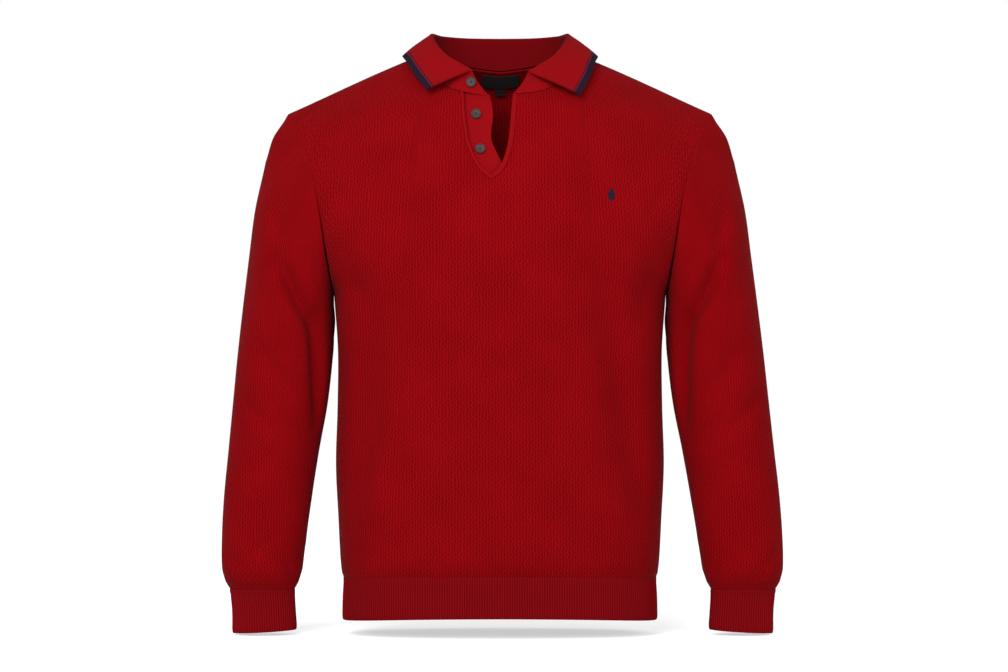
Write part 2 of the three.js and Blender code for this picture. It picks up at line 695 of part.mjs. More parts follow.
// The direction out of the body's face, measured over a short distance.
function faceNormal(side, across, t) {
  const d = 0.02;
  const p = (a, b) => bodyPoint(side, a, b);
  const over = p(across + d, t).sub(p(across - d, t));
  const up = p(across, t + d).sub(p(across, t - d));
  return over.cross(up).multiplyScalar(TOWARDS[side]).normalize();
}

// The fold's top and the outer edge at a place along the collar, from -1 to 1.
function collarLines(along) {
  const side = Math.sign(along) || 1;
  const t = indexAt(COLLAR, "along", Math.abs(along));
  const at = (key) => column(COLLAR, key, t);
  const front = smooth((Math.abs(along) - 0.4) / 0.6);
  const shift = COLLAR_SHIFT * front;
  const drop = side * COLLAR_DROP * front;
  return {
    fold: vec(side * at("foldX"), at("foldY"), at("foldZ") - drop / 3),
    edge: vec(side * at("edgeX") + shift, at("edgeY"), at("edgeZ") - drop),
  };
}

// One section through the collar, along its hidden face: up the outside of the stand, round the roll,
// and down the underside of the leaf.
function collarSection(foot, along) {
  const { fold, edge } = collarLines(along);
  const out = edge.clone().sub(fold).setZ(0).normalize();
  const centre = fold.clone().addScaledVector(vec(0, 0, 1), -ROLL - WALL);
  const onRoll = (turn) =>
    centre
      .clone()
      .addScaledVector(out, -ROLL * Math.cos(Math.PI * turn))
      .addScaledVector(vec(0, 0, 1), ROLL * Math.sin(Math.PI * turn));
  const [inner, outer] = [onRoll(0), onRoll(1)];
  const stand = [0, 0.3, 0.65].map((share) => foot.clone().lerp(inner, share));
  const leaf = [0.28, 0.55, 0.8, 1].map((share) =>
    outer
      .clone()
      .lerp(edge, share)
      .addScaledVector(out, 2.2 * Math.sin(Math.PI * share)),
  );
  return [...stand, ...[0, 0.25, 0.5, 0.75, 1].map(onRoll), ...leaf];
}

function collarSheet(seam) {
  const along = [0];
  for (let i = 1; i < seam.length; i++) along.push(along[i - 1] + seam[i].distanceTo(seam[i - 1]));
  const whole = along[along.length - 1];
  const middle = along[seam.findIndex((p) => p.y > 0 && Math.abs(p.x) < 0.1)];
  const share = (i) => (along[i] < middle ? along[i] / middle - 1 : (along[i] - middle) / (whole - middle));
  const sections = seam.map((foot, i) => collarSection(foot, share(i)));
  const grid = sections[0].map((_, row) => sections.map((c) => c[row]));
  return { ...gridSheet(grid, { turned: true }), grid };
}

// ---------------------------------------------------------------- what lies on or behind the front

// The place on the front's face at x and z, seen from the front.
function placeOnFront(x, z) {
  let s = 0;
  let t = APEX;
  for (let i = 0; i < 8; i++) {
    s = solve((a) => bodyPoint("front", a, t).x - x, -0.9, 0.9);
    t = solve((b) => bodyPoint("front", s, b).z - z, UNDERARM, SHOULDER);
  }
  return { across: s, t };
}

function onFront(x, z, out = 0) {
  const { across, t } = placeOnFront(x, z);
  return bodyPoint("front", across, t).addScaledVector(faceNormal("front", across, t), out);
}

function neckHeight(x) {
  const across = neckShare("front", x);
  return bodyPoint("front", across, topOf("front", across)).z;
}

// The button stand lies behind the front, from the neck to below the opening.
function standSheet() {
  const behind = -(WALL + FACET_GAP);
  const foot = OPENING[OPENING.length - 2].z - STAND_FOOT;
  const grid = steps(10).map((up) =>
    steps(5).map((share) => {
      const z = mix(foot, -55, up);
      const left = Math.max(openingAt("left", z) - STAND_TUCK, -50);
      const x = mix(left, openingAt("stand", z), share);
      const top = neckHeight(x) - 3;
      const height = mix(foot, top, up);
      return onFront(x, height, behind);
    }),
  );
  return gridSheet(grid);
}

// The trim follows the opening's edge down one side and up the other, on the front's face.
function trimSheet() {
  const out = TRIM_WALL + FACET_GAP;
  const low = OPENING[OPENING.length - 2].z;
  const side = (key, sign) =>
    steps(9).map((share) => {
      const x = openingAt(key, -52);
      const top = neckHeight(x + sign * TRIM_WIDTH) - 1.5;
      const z = mix(top, low + 3, 1 - (1 - share) ** 1.4);
      return vec(openingAt(key, z), 0, z);
    });
  const point = vec(OPENING[OPENING.length - 1].left, 0, low);
  const line = [...side("left", -1), point, ...side("right", 1).reverse()];
  const grid = [0.35, 0.35 + TRIM_WIDTH].map((away) =>
    line.map((p, i) => {
      const before = line[Math.max(i - 1, 0)];
      const after = line[Math.min(i + 1, line.length - 1)];
      const along = after.clone().sub(before).normalize();
      const x = p.x + along.z * away;
      const z = p.z - along.x * away;
      return onFront(x, z, out);
    }),
  );
  return gridSheet(grid, { turned: true });
}

// A strip of the inside of the back, hanging below the neck seam.
function backStrip(halfWidth, top, height, inset, shares) {
  const grid = [1, 0.5, 0].map((up) =>
    shares.map((share) => {
      const x = mix(-halfWidth, halfWidth, share);
      const across = neckShare("back", x);
      const start = topOf("back", across);
      const z = bodyPoint("back", across, start).z - top - height * (1 - up);
      const t = solve((b) => bodyPoint("back", across, b).z - z, SHOULDER - 5, start);
      return bodyPoint("back", across, t).addScaledVector(faceNormal("back", across, t), -inset);
    }),
  );
  return gridSheet(grid.reverse());
}

// ---------------------------------------------------------------- buttons

function solidFrom(geometry) {
  const bare = geometry.index ? geometry.toNonIndexed() : geometry.clone();
  bare.deleteAttribute("normal");
  bare.deleteAttribute("uv");
  const merged = mergeVertices(bare, 1e-4);
  const mesh = new wasm.Mesh({
    numProp: 3,
    vertProperties: new Float32Array(merged.attributes.position.array),
    triVerts: new Uint32Array(merged.index.array),
  });
  return new wasm.Manifold(mesh);
}

function geometryFrom(solid) {
  const mesh = solid.getMesh();
  const geometry = new THREE.BufferGeometry();
  geometry.setAttribute("position", new THREE.BufferAttribute(new Float32Array(mesh.vertProperties), 3));
  geometry.setIndex([...mesh.triVerts]);
  return geometry;
}

// A dished button with four holes, its back at the origin and its face along +Z.
function buttonGeometry() {
  const { radius, thickness, rim, dish, holeRadius, holeSpacing } = BUTTON;
  const profile = [
    [0, 0],
    [radius * 0.72, 0],
    [radius, thickness * 0.35],
    [radius, thickness * 0.75],
    [radius - rim * 0.5, thickness],
    [radius - rim, thickness * 0.92],
    [radius - rim * 1.9, thickness - dish],
    [0, thickness - dish],
  ].map(([r, z]) => new THREE.Vector2(r, z));
  const disc = new THREE.LatheGeometry(profile, 20);
  disc.rotateX(Math.PI / 2);
  let solid = solidFrom(disc);
  if (solid.volume() < 0) throw new Error("the button's profile is reversed");
  for (const [sx, sy] of [[-1, -1], [1, -1], [1, 1], [-1, 1]]) {
    const hole = new THREE.CylinderGeometry(holeRadius, holeRadius, thickness * 3, 8);
    hole.rotateX(Math.PI / 2);
    hole.translate((sx * holeSpacing) / 2, (sy * holeSpacing) / 2, 0);
    solid = solid.subtract(solidFrom(hole));
  }
  return geometryFrom(solid);
}

// ---------------------------------------------------------------- assembly

const sweater = new THREE.Group();

function addCloth(name, sheet, material, wall) {
  const mesh = new THREE.Mesh(thicken(sheet, wall), material);
  mesh.name = name;
  sweater.add(mesh);
  return mesh;
}

function addButton(name, place, normal, gap) {
  const mesh = new THREE.Mesh(buttonGeometry(), MATERIALS.button);
  mesh.name = name;
  mesh.position.copy(place).addScaledVector(normal, gap);
  mesh.quaternion.setFromUnitVectors(vec(0, 0, 1), normal);
  sweater.add(mesh);
}

const front = frontSheet(ROWS);
const back = backSheet();
const frontShares = [
  ...Array.from({ length: FRONT_COLUMNS + 1 }, (_, i) => frontPlace("left", i, 0).across),
  ...Array.from({ length: FRONT_COLUMNS }, (_, i) => frontPlace("right", FRONT_COLUMNS - 1 - i, 0).across),
];
const backShares = Array.from({ length: BACK_COLUMNS + 1 }, (_, i) => backPlace(i, 0).across);
const hemFront = hemSheet("front", frontShares);
const hemBack = hemSheet("back", backShares);

const leftSleeveGrid = sleeveGrid(SLEEVE_SWING.left);
const rightSleeveGrid = mirrored(sleeveGrid(SLEEVE_SWING.right));
const leftCuffGrid = cuffGrid(SLEEVE_SWING.left, leftSleeveGrid[SLEEVE_ROWS]);
const rightCuffTop = mirrored(rightSleeveGrid)[SLEEVE_ROWS];
const rightCuffGrid = mirrored(cuffGrid(SLEEVE_SWING.right, rightCuffTop));
const tube = (grid, turned) => gridSheet(grid, { turned, closed: true });
const leftSleeve = tube(leftSleeveGrid, false);
const rightSleeve = tube(rightSleeveGrid, true);
const leftCuff = tube(leftCuffGrid, false);
const rightCuff = tube(rightCuffGrid, true);

const collar = collarSheet(neckSeam(front, back));
matchSeams([front, back, hemFront, hemBack, leftSleeve, rightSleeve, leftCuff, rightCuff, collar]);

addCloth("front", front, MATERIALS.knit);
addCloth("back", back, MATERIALS.knit);
addCloth("sleeve_left", leftSleeve, MATERIALS.knit);
addCloth("sleeve_right", rightSleeve, MATERIALS.knit);
addCloth("cuff_left", leftCuff, MATERIALS.rib);
addCloth("cuff_right", rightCuff, MATERIALS.rib);
addCloth("hem_front", hemFront, MATERIALS.rib);
addCloth("hem_back", hemBack, MATERIALS.rib);
addCloth("collar", collar, MATERIALS.collar);
addCloth("button_stand", standSheet(), MATERIALS.collar, STAND_WALL);
addCloth("opening_trim", trimSheet(), MATERIALS.collar, TRIM_WALL);

const inside = WALL + FACET_GAP;
const labelSheet = backStrip(LABEL.halfWidth, LABEL.top, LABEL.height, inside + LABEL_WALL, steps(6));
addCloth("neck_label", labelSheet, MATERIALS.label, LABEL_WALL);
const tabTop = LABEL.top + LABEL.height + SEAM_GAP * 2;
const tabInset = inside + LABEL_WALL + TAB_INSET;
const tabSheet = backStrip(TAB.halfWidth, tabTop, TAB.height, tabInset, steps(2));
addCloth("size_tab", tabSheet, MATERIALS.label, LABEL_WALL);

// The first button is on the outside of the collar's stand, near its front end.
const { column: over, row: up, share: between } = COLLAR_BUTTON;
const onCollar = collar.grid[up][over].clone().lerp(collar.grid[up + 1][over], between);
const rise = collar.grid[up + 1][over].clone().sub(collar.grid[up][over]);
const reach = collar.grid[up][over + 1].clone().sub(collar.grid[up][over - 1]);
addButton("button_1", onCollar, rise.cross(reach).normalize(), SEAM_GAP * 3.5);

// The others are on the button stand's face, behind the front.
BUTTON_PLACES.forEach(({ x, z }, i) => {
  const { across, t } = placeOnFront(x, z);
  addButton("button_" + (i + 2), onFront(x, z, -inside), faceNormal("front", across, t), SEAM_GAP);
});

export default sweater;
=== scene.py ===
# %% [markdown]
# # A knitted henley sweater with a folding collar
# A sweater like this is knitted in flat panels: a front, a back, two sleeves, ribbed bands and a
# collar. The panels are linked together at the edges. Cloth like this can be simulated, but a
# sweater that is filled out, as on a form, has few folds, and its shape comes from its cut. So each
# panel is a surface worked out from the same short tables as the solid parts, then given a wall.

import math

import bpy
import numpy as np
from mathutils import Matrix, Vector


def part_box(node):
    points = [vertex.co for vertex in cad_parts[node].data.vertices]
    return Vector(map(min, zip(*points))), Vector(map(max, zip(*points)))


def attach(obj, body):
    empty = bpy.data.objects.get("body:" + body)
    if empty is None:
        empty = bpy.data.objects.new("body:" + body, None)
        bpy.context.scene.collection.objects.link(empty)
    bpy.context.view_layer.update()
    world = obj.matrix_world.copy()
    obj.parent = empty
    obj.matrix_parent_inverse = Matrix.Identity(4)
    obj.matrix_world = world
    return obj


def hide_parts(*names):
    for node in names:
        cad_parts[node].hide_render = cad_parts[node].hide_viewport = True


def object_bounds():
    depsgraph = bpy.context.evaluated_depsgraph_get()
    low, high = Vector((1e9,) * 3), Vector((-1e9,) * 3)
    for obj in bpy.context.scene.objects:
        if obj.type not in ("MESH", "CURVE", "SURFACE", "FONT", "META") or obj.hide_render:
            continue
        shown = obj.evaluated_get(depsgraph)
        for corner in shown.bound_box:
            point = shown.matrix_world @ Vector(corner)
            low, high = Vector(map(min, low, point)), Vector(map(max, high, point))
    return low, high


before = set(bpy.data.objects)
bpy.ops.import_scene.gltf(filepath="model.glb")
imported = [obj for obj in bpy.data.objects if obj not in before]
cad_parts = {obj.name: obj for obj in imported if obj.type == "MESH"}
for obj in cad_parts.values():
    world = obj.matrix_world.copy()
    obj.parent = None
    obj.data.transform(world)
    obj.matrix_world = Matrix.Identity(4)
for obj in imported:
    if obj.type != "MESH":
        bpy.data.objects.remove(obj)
CAD_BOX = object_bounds()
MM = 0.001
print("nodes:", len(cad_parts))

# %% [markdown]
# ## The cut of the body
# Each row of a table is a section through the body, from the seam of the hem up to the shoulder
# seams. A section is one curve from the middle of the front, or of the back, round to the side. The
# curve is a Bezier curve: it leaves the middle straight across, and arrives at the side turning back.
# All lengths in these tables are millimetres.

# %% Sizes of the body
WALL = 2.4
NECK_HALF_WIDTH = 86
NECK_DEPTH = {"front": 72.5, "back": 72}
NECK_SQUARENESS = {"front": 3, "back": 2}
UNDERARM = 6
SHOULDER = 14
APEX = 11


def table(names, *rows):
    """A table with named columns, a row for each section."""
    return {name: np.array(column, float) for name, column in zip(names.split(), zip(*rows))}


BODY = table(
    "front_y front_z back_y back_z edge_x front_edge_y front_edge_z back_edge_y back_edge_z",
    (-102, -637, 97, -641, 192, 0, -641, 0, -641),
    (-109, -616, 103, -619, 194.5, 0, -619, 0, -619),
    (-112, -570, 105, -570, 197, 0, -570, 0, -570),
    (-113, -505, 104, -505, 200, 0, -505, 0, -505),
    (-114, -435, 102, -435, 198, 0, -435, 0, -435),
    (-117, -365, 106, -365, 197.5, 0, -365, 0, -365),
    (-120, -300, 112, -297, 202, 0, -300, 0, -300),
    (-121, -270, 116, -262, 204, -40, -285, 42, -283),
    (-121, -239, 119, -226, 209, -65, -252, 69, -247),
    (-118, -207, 120, -188, 214.5, -75, -215, 81, -207),
    (-112.5, -174, 118, -150, 220.5, -74, -180, 82, -168),
    (-104, -139, 113, -112, 228.5, -65, -148, 72, -134),
    (-92, -103, 104, -74, 238, -48, -119, 52, -106),
    (-73, -60, 89, -37, 249, -26, -95, 27, -89),
    (0, 20, 0, 20, 259, 0, -78, 0, -78),
)
ARRIVAL = table(
    "leave rise arrive outward round upward",
    (140, 0, 66, 0, 1, 0),
    (143, 0, 70, 0, 1, 0),
    (144, 0, 70, 0, 1, 0),
    (146, 0, 70, 0, 1, 0),
    (145, 0, 70, 0, 1, 0),
    (145, 0, 72, 0, 1, 0),
    (146, 0, 72, 0, 1, 0),
    (143, 0, 56, 0.28, 0.96, 0),
    (138, 0, 50, 0.55, 0.83, 0),
    (132, 0, 50, 0.72, 0.69, -0.05),
    (126, 2, 50, 0.8, 0.59, -0.12),
    (120, 5, 55, 0.86, 0.45, -0.22),
    (110, 9, 60, 0.89, 0.3, -0.32),
    (95, 12, 65, 0.91, 0.15, -0.38),
    (70, -5, 75, 0.92, 0, -0.39),
)
OPENING = table(
    "z left right stand",
    (-40, -44.5, 18.5, -13),
    (-56, -44, 16.5, -12),
    (-70, -43, 15, -9),
    (-84, -42, 13.6, -8.2),
    (-100, -40, 12.4, -10),
    (-113, -38, 11, -9.8),
    (-126, -34, 8.4, -4.6),
    (-139, -28, 4.2, 1.4),
    (-150, -20.5, -2, 6),
    (-158, -10.5, -10.5, 8),
    (-176, -10.5, -10.5, 8),
)
TOWARDS = {"front": 1, "back": -1}
print("sections:", len(BODY["edge_x"]))


# %% [markdown]
# ## Curves through a table
# A Catmull-Rom curve passes through every row of a table, so a size between two sections is read
# smoothly. A bisection then finds the place where a curve crosses a line, such as the neck's edge.
# Both work on whole grids of points at once, which is what makes the fine cloth quick to build.

# %% Curve helpers
def read(values, at, low=0, high=None):
    """A column of a table at a row number that may lie between two rows."""
    high = len(values) - 1 if high is None else high
    at = np.asarray(at, float)
    i = np.clip(np.floor(at).astype(int), low, high - 1)
    f = at - i
    a, b, c, d = (values[np.clip(i + k, low, high)] for k in (-1, 0, 1, 2))
    return b + 0.5 * f * (c - a + f * (2 * a - 5 * b + 4 * c - d + f * (3 * (b - c) + d - a)))


def row_of(values, wanted):
    """The row number at which a steady column has a value."""
    rows = np.arange(len(values), dtype=float)
    if values[-1] < values[0]:
        values, rows = values[::-1], rows[::-1]
    return np.interp(wanted, values, rows)


def bisect(f, low, high, turns=26):
    """Where f changes sign between low and high, for each point of a grid."""
    low, high = np.broadcast_arrays(np.asarray(low, float), np.asarray(high, float))
    low, high = low.copy(), high.copy()
    sign = np.sign(f(low))
    for _ in range(turns):
        middle = (low + high) / 2
        same = np.sign(f(middle)) == sign
        low = np.where(same, middle, low)
        high = np.where(same, high, middle)
    return (low + high) / 2


def ease(share):
    """A share from 0 to 1 that starts and ends gently."""
    share = np.clip(share, 0, 1)
    return share * share * (3 - 2 * share)


def unit(v):
    """Vectors of the same directions, one long."""
    return v / np.maximum(np.linalg.norm(v, axis=-1, keepdims=True), 1e-9)


# %% The body's surface
def side_tables(side):
    """The sections of one side, with the other side's last but one so that the shoulder is round."""
    other = "back" if side == "front" else "front"
    tables = {"edge_x": np.append(BODY["edge_x"], BODY["edge_x"][-2])}
    for key in ("y", "z", "edge_y", "edge_z"):
        tables[key] = np.append(BODY[f"{side}_{key}"], BODY[f"{other}_{key}"][-2])
    for key, values in ARRIVAL.items():
        tables[key] = np.append(values, values[-2])
    tables["round"][-1] *= -1
    return tables


SIDES = {side: side_tables(side) for side in ("front", "back")}


def bezier(start, first, second, end, share):
    """Points of a section, from its middle out to its edge. A negative share is the other half."""
    s = np.abs(share)[..., None]
    r = 1 - s
    point = r**3 * start + 3 * r * r * s * first + 3 * r * s * s * second + s**3 * end
    point[..., 0] *= np.where(share < 0, -1, 1)
    return point


def body_point(side, across, t):
    """Points of the body's face: across runs from -1 to 1, edge to edge, and t counts sections."""
    across, t = np.broadcast_arrays(np.asarray(across, float), np.asarray(t, float))
    tables = SIDES[side]
    last = len(tables["y"]) - 1

    def edge(key):
        below = read(tables[key], t, 0, UNDERARM)
        return np.where(t < UNDERARM, below, read(tables[key], t, UNDERARM, last))

    def middle(key):
        return read(tables[key], t)

    start = np.stack([np.zeros_like(t), middle("y"), middle("z")], -1)
    end = np.stack([edge("edge_x"), edge("edge_y"), edge("edge_z")], -1)
    turn = unit(np.stack([middle("outward"), TOWARDS[side] * middle("round"), middle("upward")], -1))
    first = start + np.stack([middle("leave"), np.zeros_like(t), middle("rise")], -1)
    second = end - turn * middle("arrive")[..., None]
    return bezier(start, first, second, end, across)


def body_normal(side, across, t, step=0.02):
    over = body_point(side, across + step, t) - body_point(side, across - step, t)
    up = body_point(side, across, t + step) - body_point(side, across, t - step)
    return unit(np.cross(over, up)) * TOWARDS[side]


NECK_SHARE = float(bisect(lambda s: body_point("front", s, SHOULDER)[..., 0] - NECK_HALF_WIDTH, 0.1, 0.9))


def top_of(side, across):
    """The section number of the top of the cloth: the shoulder seam, or the neck's edge."""
    across = np.asarray(across, float)

    def outside(t):
        p = np.abs(body_point(side, across, t))
        power = NECK_SQUARENESS[side]
        return (p[..., 0] / NECK_HALF_WIDTH) ** power + (p[..., 1] / NECK_DEPTH[side]) ** power - 1

    cut = bisect(outside, np.full(across.shape, SHOULDER - 3.0), SHOULDER)
    return np.where(np.abs(across) >= NECK_SHARE, SHOULDER, cut)


def opening_at(key, z):
    return read(OPENING[key], row_of(OPENING["z"], z))


APEX_SHARE = float(bisect(lambda s: body_point("front", s, APEX)[..., 0] - OPENING["left"][-1], -0.5, 0.5))
APEX_TOP = float(APEX * top_of("front", APEX_SHARE) / SHOULDER)


def opening_share(key, t):
    """The share across of one edge of the opening, and of the front's middle line below it."""
    t = np.asarray(t, float)

    def past(s):
        p = body_point("front", s, t)
        return p[..., 0] - opening_at(key, p[..., 2])

    found = bisect(past, np.full(t.shape, -0.6), 0.6, turns=20)
    return np.where(t <= APEX_TOP, APEX_SHARE, found)


CORNER = {}
for key in ("left", "right"):
    share = np.array(APEX_SHARE)
    for _ in range(10):
        share = opening_share(key, top_of("front", share))
    CORNER[key] = float(share)
CORNER_TOP = {key: float(top_of("front", share)) for key, share in CORNER.items()}
print("neck corners:", {k: round(v, 3) for k, v in CORNER.items()})

# %% [markdown]
# ## Folds
# Filled-out knitwear still shows a few long, soft folds: it hangs from the shoulders, so they run
# down and outwards. Each is a trough or, where its depth is negative, a ridge, with its two ends,
# half its breadth and its depth. They differ in length, depth and spacing, as real ones do.

# %% The folds' tables
FRONT_FOLDS = table(
    "a0 b0 a1 b1 width depth",
    (-150, -300, -176, -600, 22, 8),
    (132, -330, 168, -560, 22, 10),
    (-122, -430, -166, -600, 14, -5),
    (120, -250, 142, -400, 18, 5),
    (-186, -250, -150, -340, 12, 3.5),
    (190, -250, 158, -350, 13, 3.5),
    (-60, -190, -120, -330, 26, 2),
    (70, -200, 110, -330, 24, 2),
    (-40, -470, -70, -610, 26, 1.8),
    (30, -500, 60, -620, 22, 1.6),
    (-198, -170, -168, -215, 9, 2.2),
    (200, -170, 172, -215, 9, 2.2),
)
BACK_FOLDS = table(
    "a0 b0 a1 b1 width depth",
    (140, -280, 172, -590, 22, 6),
    (-146, -320, -170, -580, 24, 5),
    (60, -420, 96, -610, 26, 3),
    (-184, -240, -140, -340, 14, 3.5),
    (182, -230, 146, -330, 13, 3),
    (-30, -380, -60, -600, 28, 2.5),
    (-90, -160, -30, -230, 26, 2),
    (96, -150, 40, -215, 24, 2),
)
SLEEVE_RADIUS = 60
SLEEVE_FOLDS = table(
    "turn0 b0 turn1 b1 width depth",
    (0.2, -255, 0.36, -335, 10, 12),
    (0.36, -330, 0.42, -450, 12, 13),
    (0.17, -360, 0.3, -430, 13, 5),
    (0.62, -280, 0.76, -360, 13, 5),
    (0.68, -400, 0.8, -500, 14, 4),
    (0.1, -420, 0.27, -470, 9, 2.5),
    (0.28, -480, 0.12, -540, 10, 2.2),
    (0.3, -590, 0.16, -628, 8, 2.4),
    (0.05, -600, 0.2, -636, 7, 2),
    (0.33, -610, 0.42, -645, 7, 2.2),
    (0.58, -590, 0.72, -636, 8, 2.4),
    (0.8, -585, 0.93, -632, 8, 2),
    (0.5, -285, 0.5, -350, 26, -3.5),
    (0.14, -190, 0.24, -262, 10, 4),
)
SLEEVE_FOLDS["a0"] = SLEEVE_FOLDS.pop("turn0") * 2 * np.pi * SLEEVE_RADIUS
SLEEVE_FOLDS["a1"] = SLEEVE_FOLDS.pop("turn1") * 2 * np.pi * SLEEVE_RADIUS


def fold_depth(folds, a, b):
    """How deep each point is pressed in. Each fold fades towards its ends."""
    depth = np.zeros_like(a)
    for a0, b0, a1, b1, width, deep in zip(*(folds[k] for k in ("a0", "b0", "a1", "b1", "width", "depth"))):
        da, db = a1 - a0, b1 - b0
        held = np.clip(((a - a0) * da + (b - b0) * db) / (da * da + db * db), 0, 1)
        away = np.hypot(a - a0 - held * da, b - b0 - held * db)
        depth += deep * np.exp(-((away / width) ** 2)) * np.sin(np.pi * (0.12 + 0.76 * held))
    return depth


FOLDS = {"front": FRONT_FOLDS, "back": BACK_FOLDS}


def pressed(side, point, across, t):
    """Points of the body with its folds pressed in. They fade out at the seams."""
    point = point.copy()
    fade = ease((1 - np.abs(across)) / 0.12) * ease(t / 1.2)
    point[..., 1] += TOWARDS[side] * fade * fold_depth(FOLDS[side], point[..., 0], point[..., 2])
    return point


def folded_point(side, across, t):
    return pressed(side, body_point(side, across, t), across, t)


CHEST_SPREAD = 12  # rows of the grid over which the chest is evened out
CHEST_REACH = 1.6  # and how many sections up and down that lasts


def hanging(side, across, t):
    """The body's grid. The edge turns sharply under the arm, but between the arms the cloth hangs evenly."""
    grid = body_point(side, across, t)
    spread = 2 * CHEST_SPREAD + CHEST_SPREAD // 2
    kernel = np.exp(-0.5 * (np.arange(-spread, spread + 1) / CHEST_SPREAD) ** 2)
    padded = np.pad(grid, ((spread, spread), (0, 0), (0, 0)), mode="edge")
    even = sum(k * padded[i : i + len(grid)] for i, k in enumerate(kernel / kernel.sum()))
    share = ease((1 - np.abs(across)) / 0.25) * np.exp(-(((t - UNDERARM) / CHEST_REACH) ** 2))
    return pressed(side, grid + (even - grid) * share[..., None], across, t)


# %% [markdown]
# ## From a grid to cloth
# Each panel is a grid of points, so its rows are courses of knitting and its columns are wales. A
# UV map holds each point's real distance across and up the cloth, in metres, so a knitted pattern
# keeps its size wherever the panel is narrow or wide. Solidify then gives the cloth its wall.

# %% Cloth helpers
def lengths(grid, axis):
    """The distance along the cloth from the first row or column, in metres."""
    step = np.linalg.norm(np.diff(grid, axis=axis), axis=-1)
    start = np.zeros_like(np.take(step, [0], axis))
    return np.cumsum(np.concatenate([start, step], axis), axis) * MM


def grid_normals(grid, closed=False):
    if closed:
        wide = np.concatenate([grid[:, -1:], grid, grid[:, :1]], 1)
        over = wide[:, 2:] - wide[:, :-2]
    else:
        over = np.gradient(grid, axis=1)
    return unit(np.cross(over, np.gradient(grid, axis=0)))


def groove(distance, width=2.2, depth=0.9):
    """The dip of a linked seam, in millimetres, at a distance from it."""
    return depth * np.exp(-((distance / width) ** 2))


def activate(piece):
    bpy.ops.object.select_all(action="DESELECT")
    piece.select_set(True)
    bpy.context.view_layer.objects.active = piece


def apply_modifier(piece, kind, **settings):
    activate(piece)
    modifier = piece.modifiers.new(kind.title(), kind)
    for key, value in settings.items():
        setattr(modifier, key, value)
    bpy.ops.object.modifier_apply(modifier=modifier.name)


def measured(grid):
    """A grid with its own distances across and up."""
    return grid, lengths(grid, 1), lengths(grid, 0)


def corners(a):
    """The values at the four corners of every square of a grid."""
    return np.stack([a[:-1, :-1], a[:-1, 1:], a[1:, 1:], a[1:, :-1]], -1).reshape(-1, 4)


def grid_mesh(name, grids, wall, turned=False, closed=False, stand_shade=None):
    """A piece of cloth from one or more (points, across, up) grids, with its wall behind its face."""
    points, faces, uvs = [], [], []
    for grid, across, up in grids:
        rows, columns = grid.shape[:2]
        first = sum(len(p) for p in points)
        points.append(grid.reshape(-1, 3) * MM)
        ids = first + np.arange(rows * columns).reshape(rows, columns)
        if closed:
            ids = np.concatenate([ids, ids[:, :1]], 1)
        quads, uv = corners(ids), np.stack([corners(across), corners(up)], -1)
        faces.append(quads[:, ::-1] if turned else quads)
        uvs.append(uv[:, ::-1] if turned else uv)
    mesh = bpy.data.meshes.new(name)
    mesh.from_pydata(np.concatenate(points).tolist(), [], np.concatenate(faces).tolist())
    layer = mesh.uv_layers.new(name="knit")
    layer.data.foreach_set("uv", np.concatenate(uvs).reshape(-1).astype(np.float32))
    # an optional weight at each point for painted shade on the collar's stand
    if stand_shade is not None:
        mark = mesh.attributes.new("stand_shade", "FLOAT", "POINT")
        mark.data.foreach_set("value", stand_shade.reshape(-1).astype(np.float32))
    piece = bpy.data.objects.new(name, mesh)
    bpy.context.scene.collection.objects.link(piece)
    apply_modifier(piece, "WELD", merge_threshold=0.00002)
    cloth = sum(f.area for f in piece.data.polygons)
    apply_modifier(piece, "SOLIDIFY", thickness=wall * MM, offset=-1, use_rim=True)
    activate(piece)
    bpy.ops.object.shade_smooth_by_angle(angle=math.radians(50))
    width = np.ptp(np.concatenate([across for _, across, _ in grids], 1), axis=1).max()
    length = max(np.ptp(up, axis=0).max() for *_, up in grids)
    print(f"{name}: {len(piece.data.polygons)} faces, {width:.4f} x {length:.4f} m, cloth {cloth:.5f} m2")
    return piece


# %% [markdown]
# ## Front
# The front is one panel with a V cut from the neck. It is made as two halves that share the line
# below the V, because a grid can't have a slit. The same steps along the shoulder and the neck give
# the edges that the back, the sleeves and the collar are linked to.

# %% Places on the panels
LOWER_ROWS = np.linspace(0, UNDERARM, 72)
UPPER_ROWS = np.linspace(UNDERARM, SHOULDER, 97)  # one of these is the bottom of the V
ROWS = np.concatenate([LOWER_ROWS, UPPER_ROWS[1:]])
SHOULDER_COLUMNS = np.linspace(0, 1, 46)
NECK_COLUMNS = np.linspace(0, 1, 30)[1:] ** 1.5


def front_half(key):
    side = -1 if key == "left" else 1
    shoulder = (1 - NECK_SHARE) / (1 - side * CORNER[key])
    shares = np.concatenate([shoulder * SHOULDER_COLUMNS, shoulder + (1 - shoulder) * NECK_COLUMNS])
    t, share = np.meshgrid(ROWS, shares, indexing="ij")
    at = t
    for _ in range(6):
        across = side + (opening_share(key, np.minimum(at, CORNER_TOP[key])) - side) * share
        at = t * top_of("front", across) / SHOULDER
    return hanging("front", across, at)


def back_panel():
    half = np.concatenate([1 + (NECK_SHARE - 1) * SHOULDER_COLUMNS, NECK_SHARE * (1 - NECK_COLUMNS)])
    shares = np.concatenate([-half, half[:-1][::-1]])
    t, across = np.meshgrid(ROWS, shares, indexing="ij")
    return hanging("back", across, t * top_of("back", across) / SHOULDER)


def panel_maps(grid, middle, sign=1):
    """Distances across from the body's middle plane, so that wales run straight up, and up from the hem."""
    across = lengths(grid, 1)
    from_column = sign * (across - across[:, middle : middle + 1])
    return from_column + grid[:, middle : middle + 1, 0] * MM, lengths(grid, 0)


